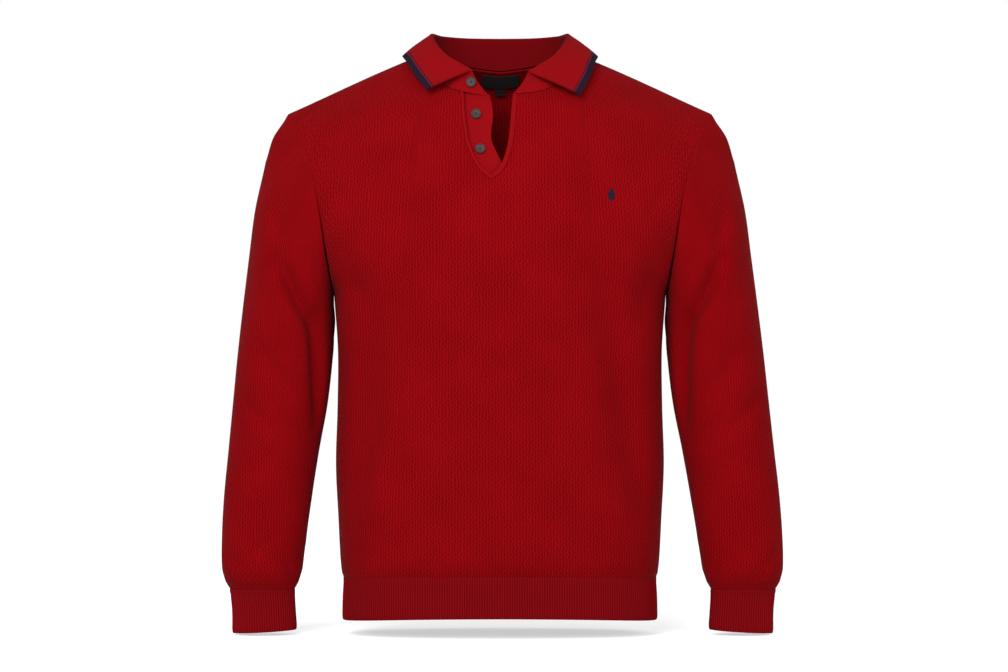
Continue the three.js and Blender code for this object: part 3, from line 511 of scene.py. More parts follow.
def seam_dip(grid, normals, columns, top):
    """Presses a panel in along its first and last columns, where wanted, and along its top row."""
    distance = np.full(grid.shape[:2], 1e3)
    over, up = lengths(grid, 1) / MM, lengths(grid, 0) / MM
    if columns in ("first", "both"):
        distance = np.minimum(distance, over)
    if columns in ("last", "both"):
        distance = np.minimum(distance, over[:, -1:] - over)
    if top:
        distance = np.minimum(distance, up[-1:] - up)
    distance = np.minimum(distance, up)
    return grid - normals * groove(distance)[..., None]


half_left, half_right = front_half("left"), front_half("right")
back_grid = back_panel()
print("front half:", half_left.shape, "back:", back_grid.shape)

# %% The front and back panels
def front_piece():
    grids = []
    for grid, sign in ((half_left, 1), (half_right, -1)):
        normals = grid_normals(grid) * sign
        dipped = seam_dip(grid, normals, "first", top=True)
        across, up = panel_maps(grid, grid.shape[1] - 1, sign)
        if sign < 0:
            across, up, dipped = across[:, ::-1], up[:, ::-1], dipped[:, ::-1]
        grids.append((dipped, across, up))
    return grid_mesh("knit_front", grids, WALL)


front = front_piece()
back_dipped = seam_dip(back_grid, -grid_normals(back_grid), "both", top=True)
back_maps = panel_maps(back_grid, back_grid.shape[1] // 2)
back = grid_mesh("knit_back", [(back_dipped, *back_maps)], WALL, turned=True)

# %% [markdown]
# ## Sleeves
# A set-in sleeve starts as the armhole's own loop of points and eases into an oval tube that hangs
# down. The rows lie closer together near the armhole, where the shape changes most.

# %% Sleeve tables
SLEEVE = table(
    "z outer inner middle_y half",
    (-78, 259, 150, 0, 62),
    (-107, 276.5, 160, 0, 66),
    (-137, 286, 170, 0, 69),
    (-195, 298.5, 186, 0, 72),
    (-254, 306, 197, -1, 71),
    (-312, 313, 205, -3, 66),
    (-371, 319.5, 204, -5, 60),
    (-429, 325, 209.5, -7, 54),
    (-488, 330.5, 220, -9, 49),
    (-547, 336, 229, -11, 45),
    (-600, 338.5, 236, -12, 43),
    (-632, 338, 240, -13, 40),
    (-647, 334, 244.5, -13, 34),
    (-656, 329.5, 248.5, -13, 28),
)
CUFF = table(
    "z outer inner middle_y half",
    (-656, 329.5, 248.5, -13, 28),
    (-662, 327.5, 249.5, -13, 25.5),
    (-684, 325.5, 248.5, -13, 25),
    (-708, 325.5, 247, -13, 26),
)
SLEEVE_SWING = {"left": 7, "right": 0}
CAP_SHARE = 0.24
ROW_CROWDING = 1.35
CUFF_TILT = 2.2


def ring_point(rings, z, turn, tilt=0):
    row = row_of(rings["z"], z)
    outer, inner = read(rings["outer"], row), read(rings["inner"], row)
    angle = 2 * np.pi * turn
    x = (outer + inner) / 2 + (outer - inner) / 2 * np.cos(angle)
    y = read(rings["middle_y"], row) - read(rings["half"], row) * np.sin(angle)
    return np.stack([x, y, z - tilt * np.cos(angle)], -1)


# The share of the way round the armhole that each of the solid parts' sections has.
ARMHOLE_MARKS = [6, 6.5, 7, 7.7, 8.5, 9.3, 10.2, 11, 11.6, 12.2, 12.7, 13.1, 13.5, 14]


def armhole():
    """The armhole's loop of points, from the shoulder down the front and up the back."""
    down = folded_point("front", np.ones(len(UPPER_ROWS)), UPPER_ROWS)[::-1]
    up = folded_point("back", np.ones(len(UPPER_ROWS)), UPPER_ROWS)[1:-1]
    mark = np.interp(UPPER_ROWS, ARMHOLE_MARKS, np.linspace(0.5, 0, len(ARMHOLE_MARKS)))
    return np.concatenate([down, up]), np.concatenate([mark[::-1], 1 - mark[1:-1]])


def sleeve_grid(swing, rows=170):
    seam, turn = armhole()
    down, turn = np.meshgrid(np.linspace(0, 1, rows) ** ROW_CROWDING, turn, indexing="ij")
    start = np.broadcast_to(seam, (*down.shape, 3))
    cuff_seam = CUFF["z"][0]
    z = start[..., 2] + (cuff_seam - start[..., 2]) * down
    point = ring_point(SLEEVE, z, turn)
    point += (start - ring_point(SLEEVE, start[..., 2], turn)) * ease(1 - down / CAP_SHARE)[..., None]
    press = fold_depth(SLEEVE_FOLDS, turn * 2 * np.pi * SLEEVE_RADIUS, z) * ease(down / 0.1)
    press *= ease((z - cuff_seam) / 14)
    angle = 2 * np.pi * turn
    point[..., 0] += swing * down**2 - np.cos(angle) * press
    point[..., 1] += np.sin(angle) * press
    return point


UNDERARM_COLUMN = len(UPPER_ROWS) - 1


def sleeve_piece(name, swing, sign):
    """A sleeve whose columns start under the arm, where a knitted sleeve is joined."""
    grid = np.roll(sleeve_grid(swing), -UNDERARM_COLUMN, axis=1)
    outside = grid.shape[1] - UNDERARM_COLUMN
    normals = grid_normals(grid, closed=True)
    up = lengths(grid, 0)
    distance = np.minimum(up, up[-1:] - up) / MM
    ends = grid - normals * groove(distance)[..., None]
    loop = np.concatenate([grid, grid[:, :1]], 1)
    across, length = lengths(loop, 1), lengths(loop, 0)
    across = across - across[:, outside : outside + 1]
    ends[..., 0] *= sign
    # it is knitted from the cuff upwards, so its courses lie level with the cuff
    return grid_mesh(name, [(ends, across, length[-1:] - length)], WALL, turned=sign < 0, closed=True)


sleeve_left = sleeve_piece("knit_sleeve_left", SLEEVE_SWING["left"], 1)
sleeve_right = sleeve_piece("knit_sleeve_right", SLEEVE_SWING["right"], -1)

# %% [markdown]
# ## Ribbed hem and cuffs
# Ribs are columns of stitches that stand up in turn and pull the band in. They are real ridges here,
# one for each rib, because they show along the edge of the band. The band ends in a rolled edge.

# %% Rib helper
RIB_PITCH = {"hem": 3.0, "cuff": 2.9}
RIB_HEIGHT = 0.35
RIB_SAMPLES = 4
ROLLED_EDGE = 1.2
HEM = table(
    "front_y front_z back_y back_z edge_x edge_z",
    (-102, -637, 97, -641, 192, -641),
    (-100.5, -643, 95.5, -647, 190.5, -647),
    (-102, -662, 96.5, -667, 191.5, -667),
    (-103.5, -687, 98, -694, 192, -694),
)
LAST_ROW = 3
BAND_ROWS = np.concatenate([np.linspace(0, 1, 9)[:-1], np.linspace(1, 2.9, 10), [2.94, 2.97, 2.99, LAST_ROW]])


def even_places(curve, low, high, pitch):
    """Places along a curve, the same distance apart, with a whole number of ribs between its ends."""
    dense = np.linspace(low, high, 3000)
    length = np.append(0, np.cumsum(np.linalg.norm(np.diff(curve(dense), axis=0), axis=1)))
    ribs = int(round(length[-1] / pitch))
    return np.interp(np.linspace(0, length[-1], ribs * RIB_SAMPLES + 1), length, dense), ribs


def band(grid, outward, pitch, closed=False):
    """Raises the ribs of a band, dips its seam and rolls its edge in."""
    rows, columns = grid.shape[:2]
    up = lengths(grid, 0) / MM
    wave = np.cos(2 * np.pi * np.arange(columns) / RIB_SAMPLES)
    height = RIB_HEIGHT * wave * ease(up / 6) - groove(up)
    height -= ROLLED_EDGE * (1 - ease((up[-1:] - up) / 2.5))
    shaped = grid + outward * height[..., None]
    across = np.arange(columns + closed) * pitch / RIB_SAMPLES * MM
    length = lengths(np.concatenate([grid, grid[:, :1]], 1) if closed else grid, 0)
    return shaped, np.broadcast_to(across, (rows, columns + closed)), -length


def hem_section(side, t, share):
    y, z = read(HEM[f"{side}_y"], t), read(HEM[f"{side}_z"], t)
    end = np.stack([read(HEM["edge_x"], t), np.zeros_like(t), read(HEM["edge_z"], t)], -1)
    start = np.stack([np.zeros_like(t), y, z], -1)
    first = start + np.array([ARRIVAL["leave"][0], 0, 0])
    second = end - np.array([0, TOWARDS[side] * ARRIVAL["arrive"][0], 0])
    return bezier(start, first, second, end, share)


def hem_piece(side):
    shares, ribs = even_places(lambda a: hem_section(side, np.full(a.shape, 2.0), a), -1, 1, RIB_PITCH["hem"])
    t, share = np.meshgrid(BAND_ROWS, shares, indexing="ij")
    grid = hem_section(side, t, share)
    outward = -grid_normals(grid) * TOWARDS[side]
    print(side, "hem ribs:", ribs)
    return grid_mesh(f"rib_hem_{side}", [band(grid, outward, RIB_PITCH["hem"])], WALL, turned=side == "front")


def cuff_ring(z, turn):
    share = (CUFF["z"][0] - z) / (CUFF["z"][0] - CUFF["z"][-1])
    point = ring_point(CUFF, z, turn)
    point[..., 2] -= CUFF_TILT * share * np.cos(2 * np.pi * turn)
    return point


def cuff_piece(name, swing, sign):
    middle = float(read(CUFF["z"], 2.0))
    turns, ribs = even_places(lambda a: cuff_ring(np.full(a.shape, middle), a), 0, 1, RIB_PITCH["cuff"])
    z, turn = np.meshgrid(read(CUFF["z"], BAND_ROWS), turns[:-1], indexing="ij")
    grid = cuff_ring(z, turn) + np.array([swing, 0, 0])
    outward = grid_normals(grid, closed=True)
    shaped, across, up = band(grid, outward, RIB_PITCH["cuff"], closed=True)
    shaped[..., 0] *= sign
    print(name, "ribs:", ribs)
    return grid_mesh(name, [(shaped, across, up)], WALL, turned=sign < 0, closed=True)


hem_front, hem_back = hem_piece("front"), hem_piece("back")
cuff_left = cuff_piece("rib_cuff_left", SLEEVE_SWING["left"], 1)
cuff_right = cuff_piece("rib_cuff_right", SLEEVE_SWING["right"], -1)

# %% [markdown]
# ## Collar
# The collar is one knitted strip: it rises from the neck seam as a stand, rolls over, and lies back
# down as a leaf. It is built as sections, each standing on a point of the neck seam, through the top
# of the fold and the outer edge, which two short tables place round the neck.

# %% Collar sections
COLLAR = table(
    "along fold_x fold_y fold_z edge_x edge_y edge_z",
    (0, 0, 79, 20, 0, 90, -24),
    (0.17, 41, 71, 20, 51, 84, -25),
    (0.33, 71, 46, 20.5, 94, 56, -19),
    (0.46, 83.5, 4, 20, 117, 4, -9),
    (0.61, 78, -25, 5, 113, -30, -19),
    (0.75, 66.5, -45, -9, 106, -50, -34),
    (0.875, 52, -57, -19, 98, -63, -47),
    (1, 35.5, -68, -29, 92, -77, -57),
)
COLLAR_SHIFT = 4
COLLAR_DROP = 3
ROLL = 1
STAND_END = -13
FACET_GAP = 1.5
STAND_ROWS, ROLL_ROWS, LEAF_ROWS = 15, 9, 29
STAND_BOW, LEAF_BOW = 1.2, 2.2  # how far each bows outwards between its edges


def neck_share(side, x):
    """The share across of points of the neck's edge, from how far they are from the middle."""
    x = np.asarray(x, float)

    def past(s):
        return body_point(side, s, top_of(side, s))[..., 0] - x

    return bisect(past, np.full(x.shape, -NECK_SHARE), NECK_SHARE)


def neck_seam():
    """The neck seam from the end on the button side, round the back, to the other end."""
    corner_x = half_left[-1, -1, 0]
    share = np.linspace(1, 0, 12)[:-1]
    across = neck_share("front", corner_x + (STAND_END - corner_x) * share)
    t = top_of("front", across)
    inset = -(WALL + FACET_GAP) * share[:, None]
    on_stand = body_point("front", across, t) + body_normal("front", across, t) * inset
    neck = slice(len(SHOULDER_COLUMNS) - 1, None)
    left, right = half_left[-1, neck][::-1], half_right[-1, neck]
    behind = back_grid[-1, len(SHOULDER_COLUMNS) : -len(SHOULDER_COLUMNS)]
    return np.concatenate([on_stand, left, behind, right])


def collar_grid():
    seam = neck_seam()
    length = np.append(0, np.cumsum(np.linalg.norm(np.diff(seam, axis=0), axis=1)))
    back_point = np.argmin(np.abs(seam[:, 0]) + np.where(seam[:, 1] > 0, 0, 1e3))
    middle = length[back_point]
    along = np.where(length < middle, length / middle - 1, (length - middle) / (length[-1] - middle))
    side = np.where(along < 0, -1, 1)
    row = row_of(COLLAR["along"], np.abs(along))
    at = {key: read(values, row) for key, values in COLLAR.items()}
    front = ease((np.abs(along) - 0.4) / 0.6)
    shift, drop = COLLAR_SHIFT * front, side * COLLAR_DROP * front
    fold = np.stack([side * at["fold_x"], at["fold_y"], at["fold_z"] - drop / 3], -1)
    edge = np.stack([side * at["edge_x"] + shift, at["edge_y"], at["edge_z"] - drop], -1)
    out = unit((edge - fold) * np.array([1, 1, 0]))
    up = np.array([0, 0, 1])
    centre = fold - up * (ROLL + WALL)

    def on_roll(turn):
        return centre - out * ROLL * np.cos(np.pi * turn) + up * ROLL * np.sin(np.pi * turn)

    inner, outer = on_roll(0), on_roll(1)

    def bowed(low, high, share, bow):
        return low + (high - low) * share + out * bow * np.sin(np.pi * share)

    stand = [bowed(seam, inner, s, STAND_BOW) for s in np.linspace(0, 1, STAND_ROWS + 1)[:-1]]
    roll = [on_roll(s) for s in np.linspace(0, 1, ROLL_ROWS)]
    leaf = [bowed(outer, edge, s, LEAF_BOW) for s in np.linspace(0, 1, LEAF_ROWS + 1)[1:]]
    return np.array(stand + roll + leaf)


def collar_piece():
    grid = collar_grid()
    across, up = lengths(grid, 1), lengths(grid, 0)
    from_edge = up[-1:] - up
    # painted shade: round the back of the neck the stand, seen inside the collar, is coloured darker than the
    # leaf, where shade falls
    stand_rows = (np.arange(len(grid)) <= STAND_ROWS + ROLL_ROWS // 2)[:, None]
    stand_shade = stand_rows * ease((grid[..., 1] + 40) / 40)
    return grid_mesh("knit_collar", [(grid, across, from_edge)], WALL, turned=True, stand_shade=stand_shade), grid


collar, collar_points = collar_piece()

# %% [markdown]
# ## Button stand and trim
# The opening has two finishes. A smooth stand lies behind the wearer's right edge and carries the
# buttons, and a narrow turned edge runs down both sides and meets in a point.

# %% Places on the front
STAND_WALL = 1.8
TRIM_WALL = 1.2
TRIM_WIDTH = {"left": 2.8, "right": 5.2}
STAND_TUCK = 7
STAND_FOOT = 7
STAND_REACH = 1.5  # its top is tucked this far up behind the collar
STAND_HEAD = -55  # the height at which its outline is read last
STAND_EDGE = -50  # it reaches no further than this behind the front
TRIM_STEPS = 60
TRIM_POINT_WIDTH = 3.8
TRIM_BLEND = 8  # steps each way over which the two widths blend at the point


def place_on_front(x, z):
    """The share across and section number of points of the front, seen from the front."""
    x, z = np.broadcast_arrays(np.asarray(x, float), np.asarray(z, float))
    t = np.full(x.shape, float(APEX))
    for _ in range(8):
        s = bisect(lambda a: body_point("front", a, t)[..., 0] - x, np.full(x.shape, -0.9), 0.9, 22)
        low = np.full(x.shape, float(UNDERARM))
        t = bisect(lambda b: body_point("front", s, b)[..., 2] - z, low, SHOULDER, 22)
    return s, t


def on_front(x, z, out=0.0):
    s, t = place_on_front(x, z)
    return body_point("front", s, t) + body_normal("front", s, t) * np.asarray(out)[..., None]


def neck_height(x):
    across = neck_share("front", x)
    return body_point("front", across, top_of("front", across))[..., 2]


def stand_piece():
    foot = OPENING["z"][-2] - STAND_FOOT
    up, share = np.meshgrid(np.linspace(0, 1, 60), np.linspace(0, 1, 28), indexing="ij")
    z = foot + (STAND_HEAD - foot) * up
    left = np.maximum(opening_at("left", z) - STAND_TUCK, STAND_EDGE)
    x = left + (opening_at("stand", z) - left) * share
    height = foot + (neck_height(x) + STAND_REACH - foot) * up
    grid = on_front(x, height, np.full(x.shape, -(WALL + FACET_GAP)))
    return grid_mesh("knit_button_stand", [measured(grid)], STAND_WALL)


def trim_piece():
    low = OPENING["z"][-2]
    sides = []
    for key, sign in (("left", -1), ("right", 1)):
        share = np.linspace(0, 1, TRIM_STEPS)
        top = float(neck_height(np.array(opening_at(key, -52) + sign * TRIM_WIDTH[key]))) - 1.5
        z = low + 1 + (top - low - 1) * (1 - share) ** 1.4
        sides.append(np.stack([opening_at(key, z), z], -1))
    point = np.array([[OPENING["left"][-1], low]])
    line = np.concatenate([sides[0], point, sides[1][::-1]])
    widths = [np.full(TRIM_STEPS, TRIM_WIDTH[key]) for key in ("left", "right")]
    width = np.concatenate([widths[0], [TRIM_POINT_WIDTH], widths[1]])
    window = 2 * TRIM_BLEND + 1
    width = np.convolve(np.pad(width, TRIM_BLEND, mode="edge"), np.ones(window) / window, "valid")
    along = unit(np.gradient(line, axis=0))
    rows = []
    for share in np.linspace(0, 1, 9):
        away = -0.3 + (width + 0.3) * share
        x, z = line[:, 0] + along[:, 1] * away, line[:, 1] - along[:, 0] * away
        crown = 0.3 * np.sin(np.pi * share) ** 0.6
        rows.append(on_front(x, z, np.full(x.shape, TRIM_WALL - 0.2 + crown)))
    grid = np.array(rows)
    return grid_mesh("knit_opening_trim", [measured(grid)], TRIM_WALL, turned=True)


button_stand = stand_piece()
opening_trim = trim_piece()

# %% [markdown]
# ## Label
# A woven label and its small tab hang inside the back of the neck, just below the seam. They stay
# plain: a label's words aren't part of the garment's shape.

# %% Neck label
LABEL_WALL = 0.6
LABEL_INSET = WALL + FACET_GAP + LABEL_WALL
TAB_INSET = LABEL_INSET + 1.4  # the tab hangs in front of the label


def back_strip(name, half_width, top, height, inset, columns):
    up, share = np.meshgrid(np.linspace(0, 1, 16), np.linspace(-1, 1, columns), indexing="ij")
    across = neck_share("back", half_width * share)
    start = top_of("back", across)
    z = body_point("back", across, start)[..., 2] - top - height * (1 - up)
    t = bisect(lambda b: body_point("back", across, b)[..., 2] - z, np.full(up.shape, SHOULDER - 5.0), start)
    grid = body_point("back", across, t) - body_normal("back", across, t) * inset
    return grid_mesh(name, [measured(grid)], LABEL_WALL)


neck_label = back_strip("woven_neck_label", 22, 3.5, 14, LABEL_INSET, 40)
size_tab = back_strip("woven_size_tab", 5, 18.1, 8, TAB_INSET, 12)

# %% [markdown]
# ## Buttons
# A shirt button is turned from a blank: a raised rim round a dished middle, with four holes. One is
# modelled from a cylinder with inset faces and drilled with four thin cylinders, then copied. Two
# bars of thread hold it on.

# %% Model one button
BUTTON_RADIUS = 6.0
BUTTON_THICKNESS = 2.6
HOLE_RADIUS = 0.75
HOLE_SPACING = 2.1


def face_at(piece, z):
    """Selects the flat face at a height, in edit mode."""
    bpy.ops.object.mode_set(mode="EDIT")
    bpy.ops.mesh.select_all(action="DESELECT")
    bpy.ops.object.mode_set(mode="OBJECT")
    for face in piece.data.polygons:
        face.select = abs(face.center.z - z) < 1e-6 and abs(face.normal.z) > 0.99
    bpy.ops.object.mode_set(mode="EDIT")
    bpy.ops.mesh.select_mode(type="FACE")


def button_blank():
    bpy.ops.object.select_all(action="DESELECT")
    bpy.ops.mesh.primitive_cylinder_add(
        vertices=64,
        radius=BUTTON_RADIUS * MM,
        depth=BUTTON_THICKNESS * MM,
        location=(0, 0, BUTTON_THICKNESS * MM / 2),
    )
    blank = bpy.context.object
    bpy.ops.object.transform_apply(location=True, rotation=True, scale=True)
    face_at(blank, BUTTON_THICKNESS * MM)
    bpy.ops.mesh.inset(thickness=1.1 * MM, depth=0)
    bpy.ops.mesh.inset(thickness=0.6 * MM, depth=-0.7 * MM)
    bpy.ops.object.mode_set(mode="OBJECT")
    apply_modifier(blank, "BEVEL", width=0.45 * MM, segments=3, limit_method="ANGLE")
    return blank


def drill(blank):
    for dx, dy in ((-1, -1), (1, -1), (1, 1), (-1, 1)):
        bpy.ops.object.select_all(action="DESELECT")
        place = (dx * HOLE_SPACING * MM / 2, dy * HOLE_SPACING * MM / 2, 0)
        bpy.ops.mesh.primitive_cylinder_add(vertices=16, radius=HOLE_RADIUS * MM, depth=0.02, location=place)
        bit = bpy.context.object
        apply_modifier(blank, "BOOLEAN", operation="DIFFERENCE", object=bit, solver="EXACT")
        bpy.data.objects.remove(bit)


blank = button_blank()
drill(blank)
activate(blank)
bpy.ops.object.shade_smooth_by_angle(angle=math.radians(40))
print("button faces:", len(blank.data.polygons))

# %% Thread for one button
THREAD_RADIUS = 0.36


def bar(start, end):
    """A short round length of thread between two points, in millimetres."""
    line = (Vector(end) - Vector(start)) * MM
    bpy.ops.object.select_all(action="DESELECT")
    bpy.ops.mesh.primitive_cylinder_add(
        vertices=10,
        radius=THREAD_RADIUS * MM,
        depth=line.length,
        location=Vector(start) * MM + line / 2,
        rotation=line.to_track_quat("Z", "Y").to_euler(),
    )
    piece = bpy.context.object
    bpy.ops.object.transform_apply(location=True, rotation=True, scale=True)
    return piece


reach = HOLE_SPACING / 2
dish = BUTTON_THICKNESS - 0.45
parts = []
for side in (-reach, reach):
    parts.append(bar((-reach - 0.3, side, dish), (reach + 0.3, side, dish)))
    parts += [bar((x, side, -0.2), (x, side, dish)) for x in (-reach, reach)]
bpy.ops.object.select_all(action="DESELECT")
for part in parts:
    part.select_set(True)
bpy.context.view_layer.objects.active = parts[0]
bpy.ops.object.join()
stitch = bpy.context.object
print("thread faces:", len(stitch.data.polygons))

# %% Place the buttons and their thread
BUTTON_PLACES = [(-28.5, -82), (-23.4, -124.5)]


def placed_copy(source, name, place, normal):
    """A copy with its own mesh, its base at place, in metres, and its face along normal."""
    piece = source.copy()
    piece.data = source.data.copy()
    piece.name = name
    turn = Vector((0, 0, 1)).rotation_difference(Vector(normal)).to_matrix().to_4x4()
    piece.data.transform(Matrix.Translation(Vector(place)) @ turn)
    bpy.context.scene.collection.objects.link(piece)
    return piece


def node_middle(name):
    low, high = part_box(name)
    return (Vector(low) + Vector(high)) / 2


# The collar's hidden face is the outside of its stand: the way out is the rise crossed with the seam.
COLLAR_OUT = -grid_normals(collar_points)


def nearest_on_stand(x, z):
    stand_rows = collar_points[: STAND_ROWS + 1]
    away = np.hypot(stand_rows[..., 0] - x, stand_rows[..., 2] - z) + np.where(stand_rows[..., 1] < 0, 0, 1e3)
    return np.unravel_index(np.argmin(away), away.shape)


first_middle = node_middle("button_1")
row, column = nearest_on_stand(first_middle.x / MM, first_middle.z / MM)
normals = [Vector(COLLAR_OUT[row, column])]
if normals[0].y > 0:
    normals[0] = -normals[0]
for x, z in BUTTON_PLACES:
    share, t = place_on_front(x, z)
    normals.append(Vector(body_normal("front", share, t)))
buttons, threads = [], []
for i, normal in enumerate(normals, start=1):
    base = node_middle(f"button_{i}") - normal * BUTTON_THICKNESS * MM / 2
    buttons.append(placed_copy(blank, f"moulded_button_{i}", base, normal))
    threads.append(placed_copy(stitch, f"thread_{i}", base, normal))
    print("button", i, [round(v, 4) for v in base], "faces", [round(v, 2) for v in normal])
bpy.data.objects.remove(blank)
bpy.data.objects.remove(stitch)

# %% [markdown]
# ## Buttonhole and chest motif
# The collar's other end has a buttonhole: a slit bound with close stitches, so it is a flat ring. The
# chest carries a small embroidered mark, made here as a plain lozenge that stands a little proud.

# %% Buttonhole and motif
BUTTONHOLE_PLACE = (38, -41)
BUTTONHOLE_HALF = 5
BUTTONHOLE_FLATTEN = (0.26, 0.7)  # the ring's breadth and height, as shares of a round one's
MOTIF_MIDDLE = (133, -181)
MOTIF_HALF = (5, 9)

row, column = nearest_on_stand(*BUTTONHOLE_PLACE)
out = Vector(COLLAR_OUT[row, column])
if out.y > 0:
    out = -out
bpy.ops.object.select_all(action="DESELECT")
bpy.ops.mesh.primitive_torus_add(
    major_radius=BUTTONHOLE_HALF * MM, minor_radius=0.55 * MM, major_segments=40, minor_segments=8
)
ring = bpy.context.object
ring.data.transform(Matrix.Diagonal((1, *BUTTONHOLE_FLATTEN, 1)))
buttonhole = placed_copy(ring, "buttonhole", Vector(collar_points[row, column]) * MM, out)
bpy.data.objects.remove(ring)


def motif_piece():
    a, b = np.meshgrid(np.linspace(-1, 1, 20), np.linspace(-1, 1, 20), indexing="ij")
    x = MOTIF_MIDDLE[0] + MOTIF_HALF[0] * (a + b) / 2
    z = MOTIF_MIDDLE[1] + MOTIF_HALF[1] * (a - b) / 2
    crown = 0.45 * (1 - np.maximum(np.abs(a), np.abs(b)) ** 4)
    share, t = place_on_front(x, z)
    grid = folded_point("front", share, t) + body_normal("front", share, t) * (0.5 + crown)[..., None]
    return grid_mesh("embroidered_lozenge", [measured(grid)], 0.5)


motif = motif_piece()

# %% [markdown]
# ## Finishes
# Everything knitted is dyed wool or cotton: it is matt, with a faint bloom of loose fibre at grazing
# angles. The stitches are too small to model, so a pattern in the cloth's own UV map raises them with
# bump and shades them. The pattern's pitch comes from the real stitch: one wale is 3.7 mm wide.

# %% Node helpers
def linear(code):
    """An sRGB hex value as linear colour."""
    channels = [int(code[i : i + 2], 16) / 255 for i in (0, 2, 4)]
    return [c / 12.92 if c <= 0.04045 else ((c + 0.055) / 1.055) ** 2.4 for c in channels] + [1.0]


def add(material, kind, *values, out=None, **named):
    """Adds a node and gives one of its outputs. Values fill its inputs in order, and a named value is an
    input or a setting."""
    node = material.node_tree.nodes.new("ShaderNode" + kind)
    inputs = {key: named.pop(key) for key in list(named) if key in node.inputs}
    for key, value in named.items():
        setattr(node, key, value)
    in_use = [socket for socket in node.inputs if socket.enabled]
    for socket, value in [*zip(in_use, values), *((node.inputs[key], inputs[key]) for key in inputs)]:
        if isinstance(value, bpy.types.NodeSocket):
            material.node_tree.links.new(value, socket)
        else:
            socket.default_value = value
    return node.outputs[out] if out else next(socket for socket in node.outputs if socket.enabled)


def new_finish(name):
    material = bpy.data.materials.new(name)
    material.use_nodes = True
    return material, material.node_tree.nodes["Principled BSDF"]


def cloth_place(material):
    """Millimetres across and up the cloth, one by one and together."""
    metres = add(material, "UVMap", uv_map="knit")
    across, up = (
        add(material, "Math", add(material, "SeparateXYZ", metres, out=axis), 1 / MM, operation="MULTIPLY")
        for axis in "XY"
    )
    return across, up, add(material, "CombineXYZ", across, up)


def wave(material, turns):
    """A smooth wave from 0 to 1, once for each turn."""
    angle = add(material, "Math", turns, 2 * math.pi, operation="MULTIPLY")
    swing = add(material, "Math", angle, operation="COSINE")
    return add(material, "Math", swing, 0.5, 0.5, operation="MULTIPLY_ADD")


def dress(material, shader, colour, height, depth, strength):
    """Gives a finish its colour and raises its bump, a depth in millimetres."""
    bump = add(material, "Bump", Strength=strength, Distance=depth * MM, Height=height)
    material.node_tree.links.new(colour, shader.inputs["Base Color"])
    material.node_tree.links.new(bump, shader.inputs["Normal"])


def woolly(shader, roughness=0.92):
    """Yarn scatters light in its loose fibres, so it has next to no shine."""
    shader.inputs["Roughness"].default_value = roughness
    shader.inputs["IOR"].default_value = 1.45
    shader.inputs["Specular IOR Level"].default_value = 0.02
    shader.inputs["Sheen Weight"].default_value = 0.004
    shader.inputs["Sheen Roughness"].default_value = 0.5


# %% Textured knit
# Fine ridges that catch the light, so the panels look grained rather than flat.
WALE, COURSE = 3.7, 5.6  # the pitch of a column and of a row of stitches, in millimetres
WANDER = 1.1  # how far a wale wanders, in wales
ZIGZAG, ZIGZAG_COURSES = 0.13, 1.4  # the small swing of a wale, in wales, and how often it comes
STITCH_DEPTH = 0.7  # how far the ridge drops between two stitches, as a share
FIBRE_SHARE = 0.3
UNEVEN_DYE = 0.5
LINKED_ROW, LINKED_HALF, LINKED_LIGHT = 2.6, 0.8, 0.35  # the painted highlight on the row beside a seam: place, half breadth, lightening

body_knit, shader = new_finish("dyed_textured_knit")
woolly(shader)
across, up, place = cloth_place(body_knit)
wander = add(body_knit, "TexNoise", place, Scale=0.09, Detail=2.0)
bend = add(body_knit, "Math", wander, WANDER, -WANDER / 2, operation="MULTIPLY_ADD")
angle = add(body_knit, "Math", up, 2 * math.pi / (ZIGZAG_COURSES * COURSE), operation="MULTIPLY")
zigzag = add(body_knit, "Math", angle, operation="SINE")
bend = add(body_knit, "Math", zigzag, ZIGZAG, bend, operation="MULTIPLY_ADD")
turns = add(body_knit, "Math", across, 1 / WALE, bend, operation="MULTIPLY_ADD")

# the stitches of one wale stand half a course above those of the next
wale = add(body_knit, "Math", turns, operation="FLOOR")
stagger = add(body_knit, "Math", wale, 0.5, operation="MULTIPLY")
rise = add(body_knit, "Math", up, 1 / COURSE, stagger, operation="MULTIPLY_ADD")
stitch = wave(body_knit, rise)
broken = add(body_knit, "Math", stitch, STITCH_DEPTH, 1 - STITCH_DEPTH, operation="MULTIPLY_ADD")
fibre = add(body_knit, "TexNoise", place, Scale=1.6, Detail=3.0)
grain = add(body_knit, "Math", fibre, FIBRE_SHARE, operation="MULTIPLY")
height = add(body_knit, "Math", wave(body_knit, turns), broken, grain, operation="MULTIPLY_ADD")

# the dye is a little uneven over a hand's breadth
dye = add(body_knit, "TexNoise", place, Scale=0.016, Detail=2.0)
uneven = add(body_knit, "Math", dye, UNEVEN_DYE, -UNEVEN_DYE / 2, operation="MULTIPLY_ADD")
tone = add(body_knit, "Math", height, uneven, operation="ADD")

# painted highlight: the row beside a linked seam is pulled open, and the light it catches is painted in as a
# lighter band
from_seam = add(body_knit, "Math", up, operation="ABSOLUTE")
seam_highlight = add(body_knit, "Math", from_seam, LINKED_ROW, LINKED_HALF, operation="COMPARE")
tone = add(body_knit, "Math", seam_highlight, LINKED_LIGHT, tone, operation="MULTIPLY_ADD")
colour = add(body_knit, "Mix", tone, linear("420001"), linear("620206"), data_type="RGBA")
dress(body_knit, shader, colour, height, depth=0.5, strength=0.7)
print("textured knit:", WALE, "x", COURSE, "mm a stitch")
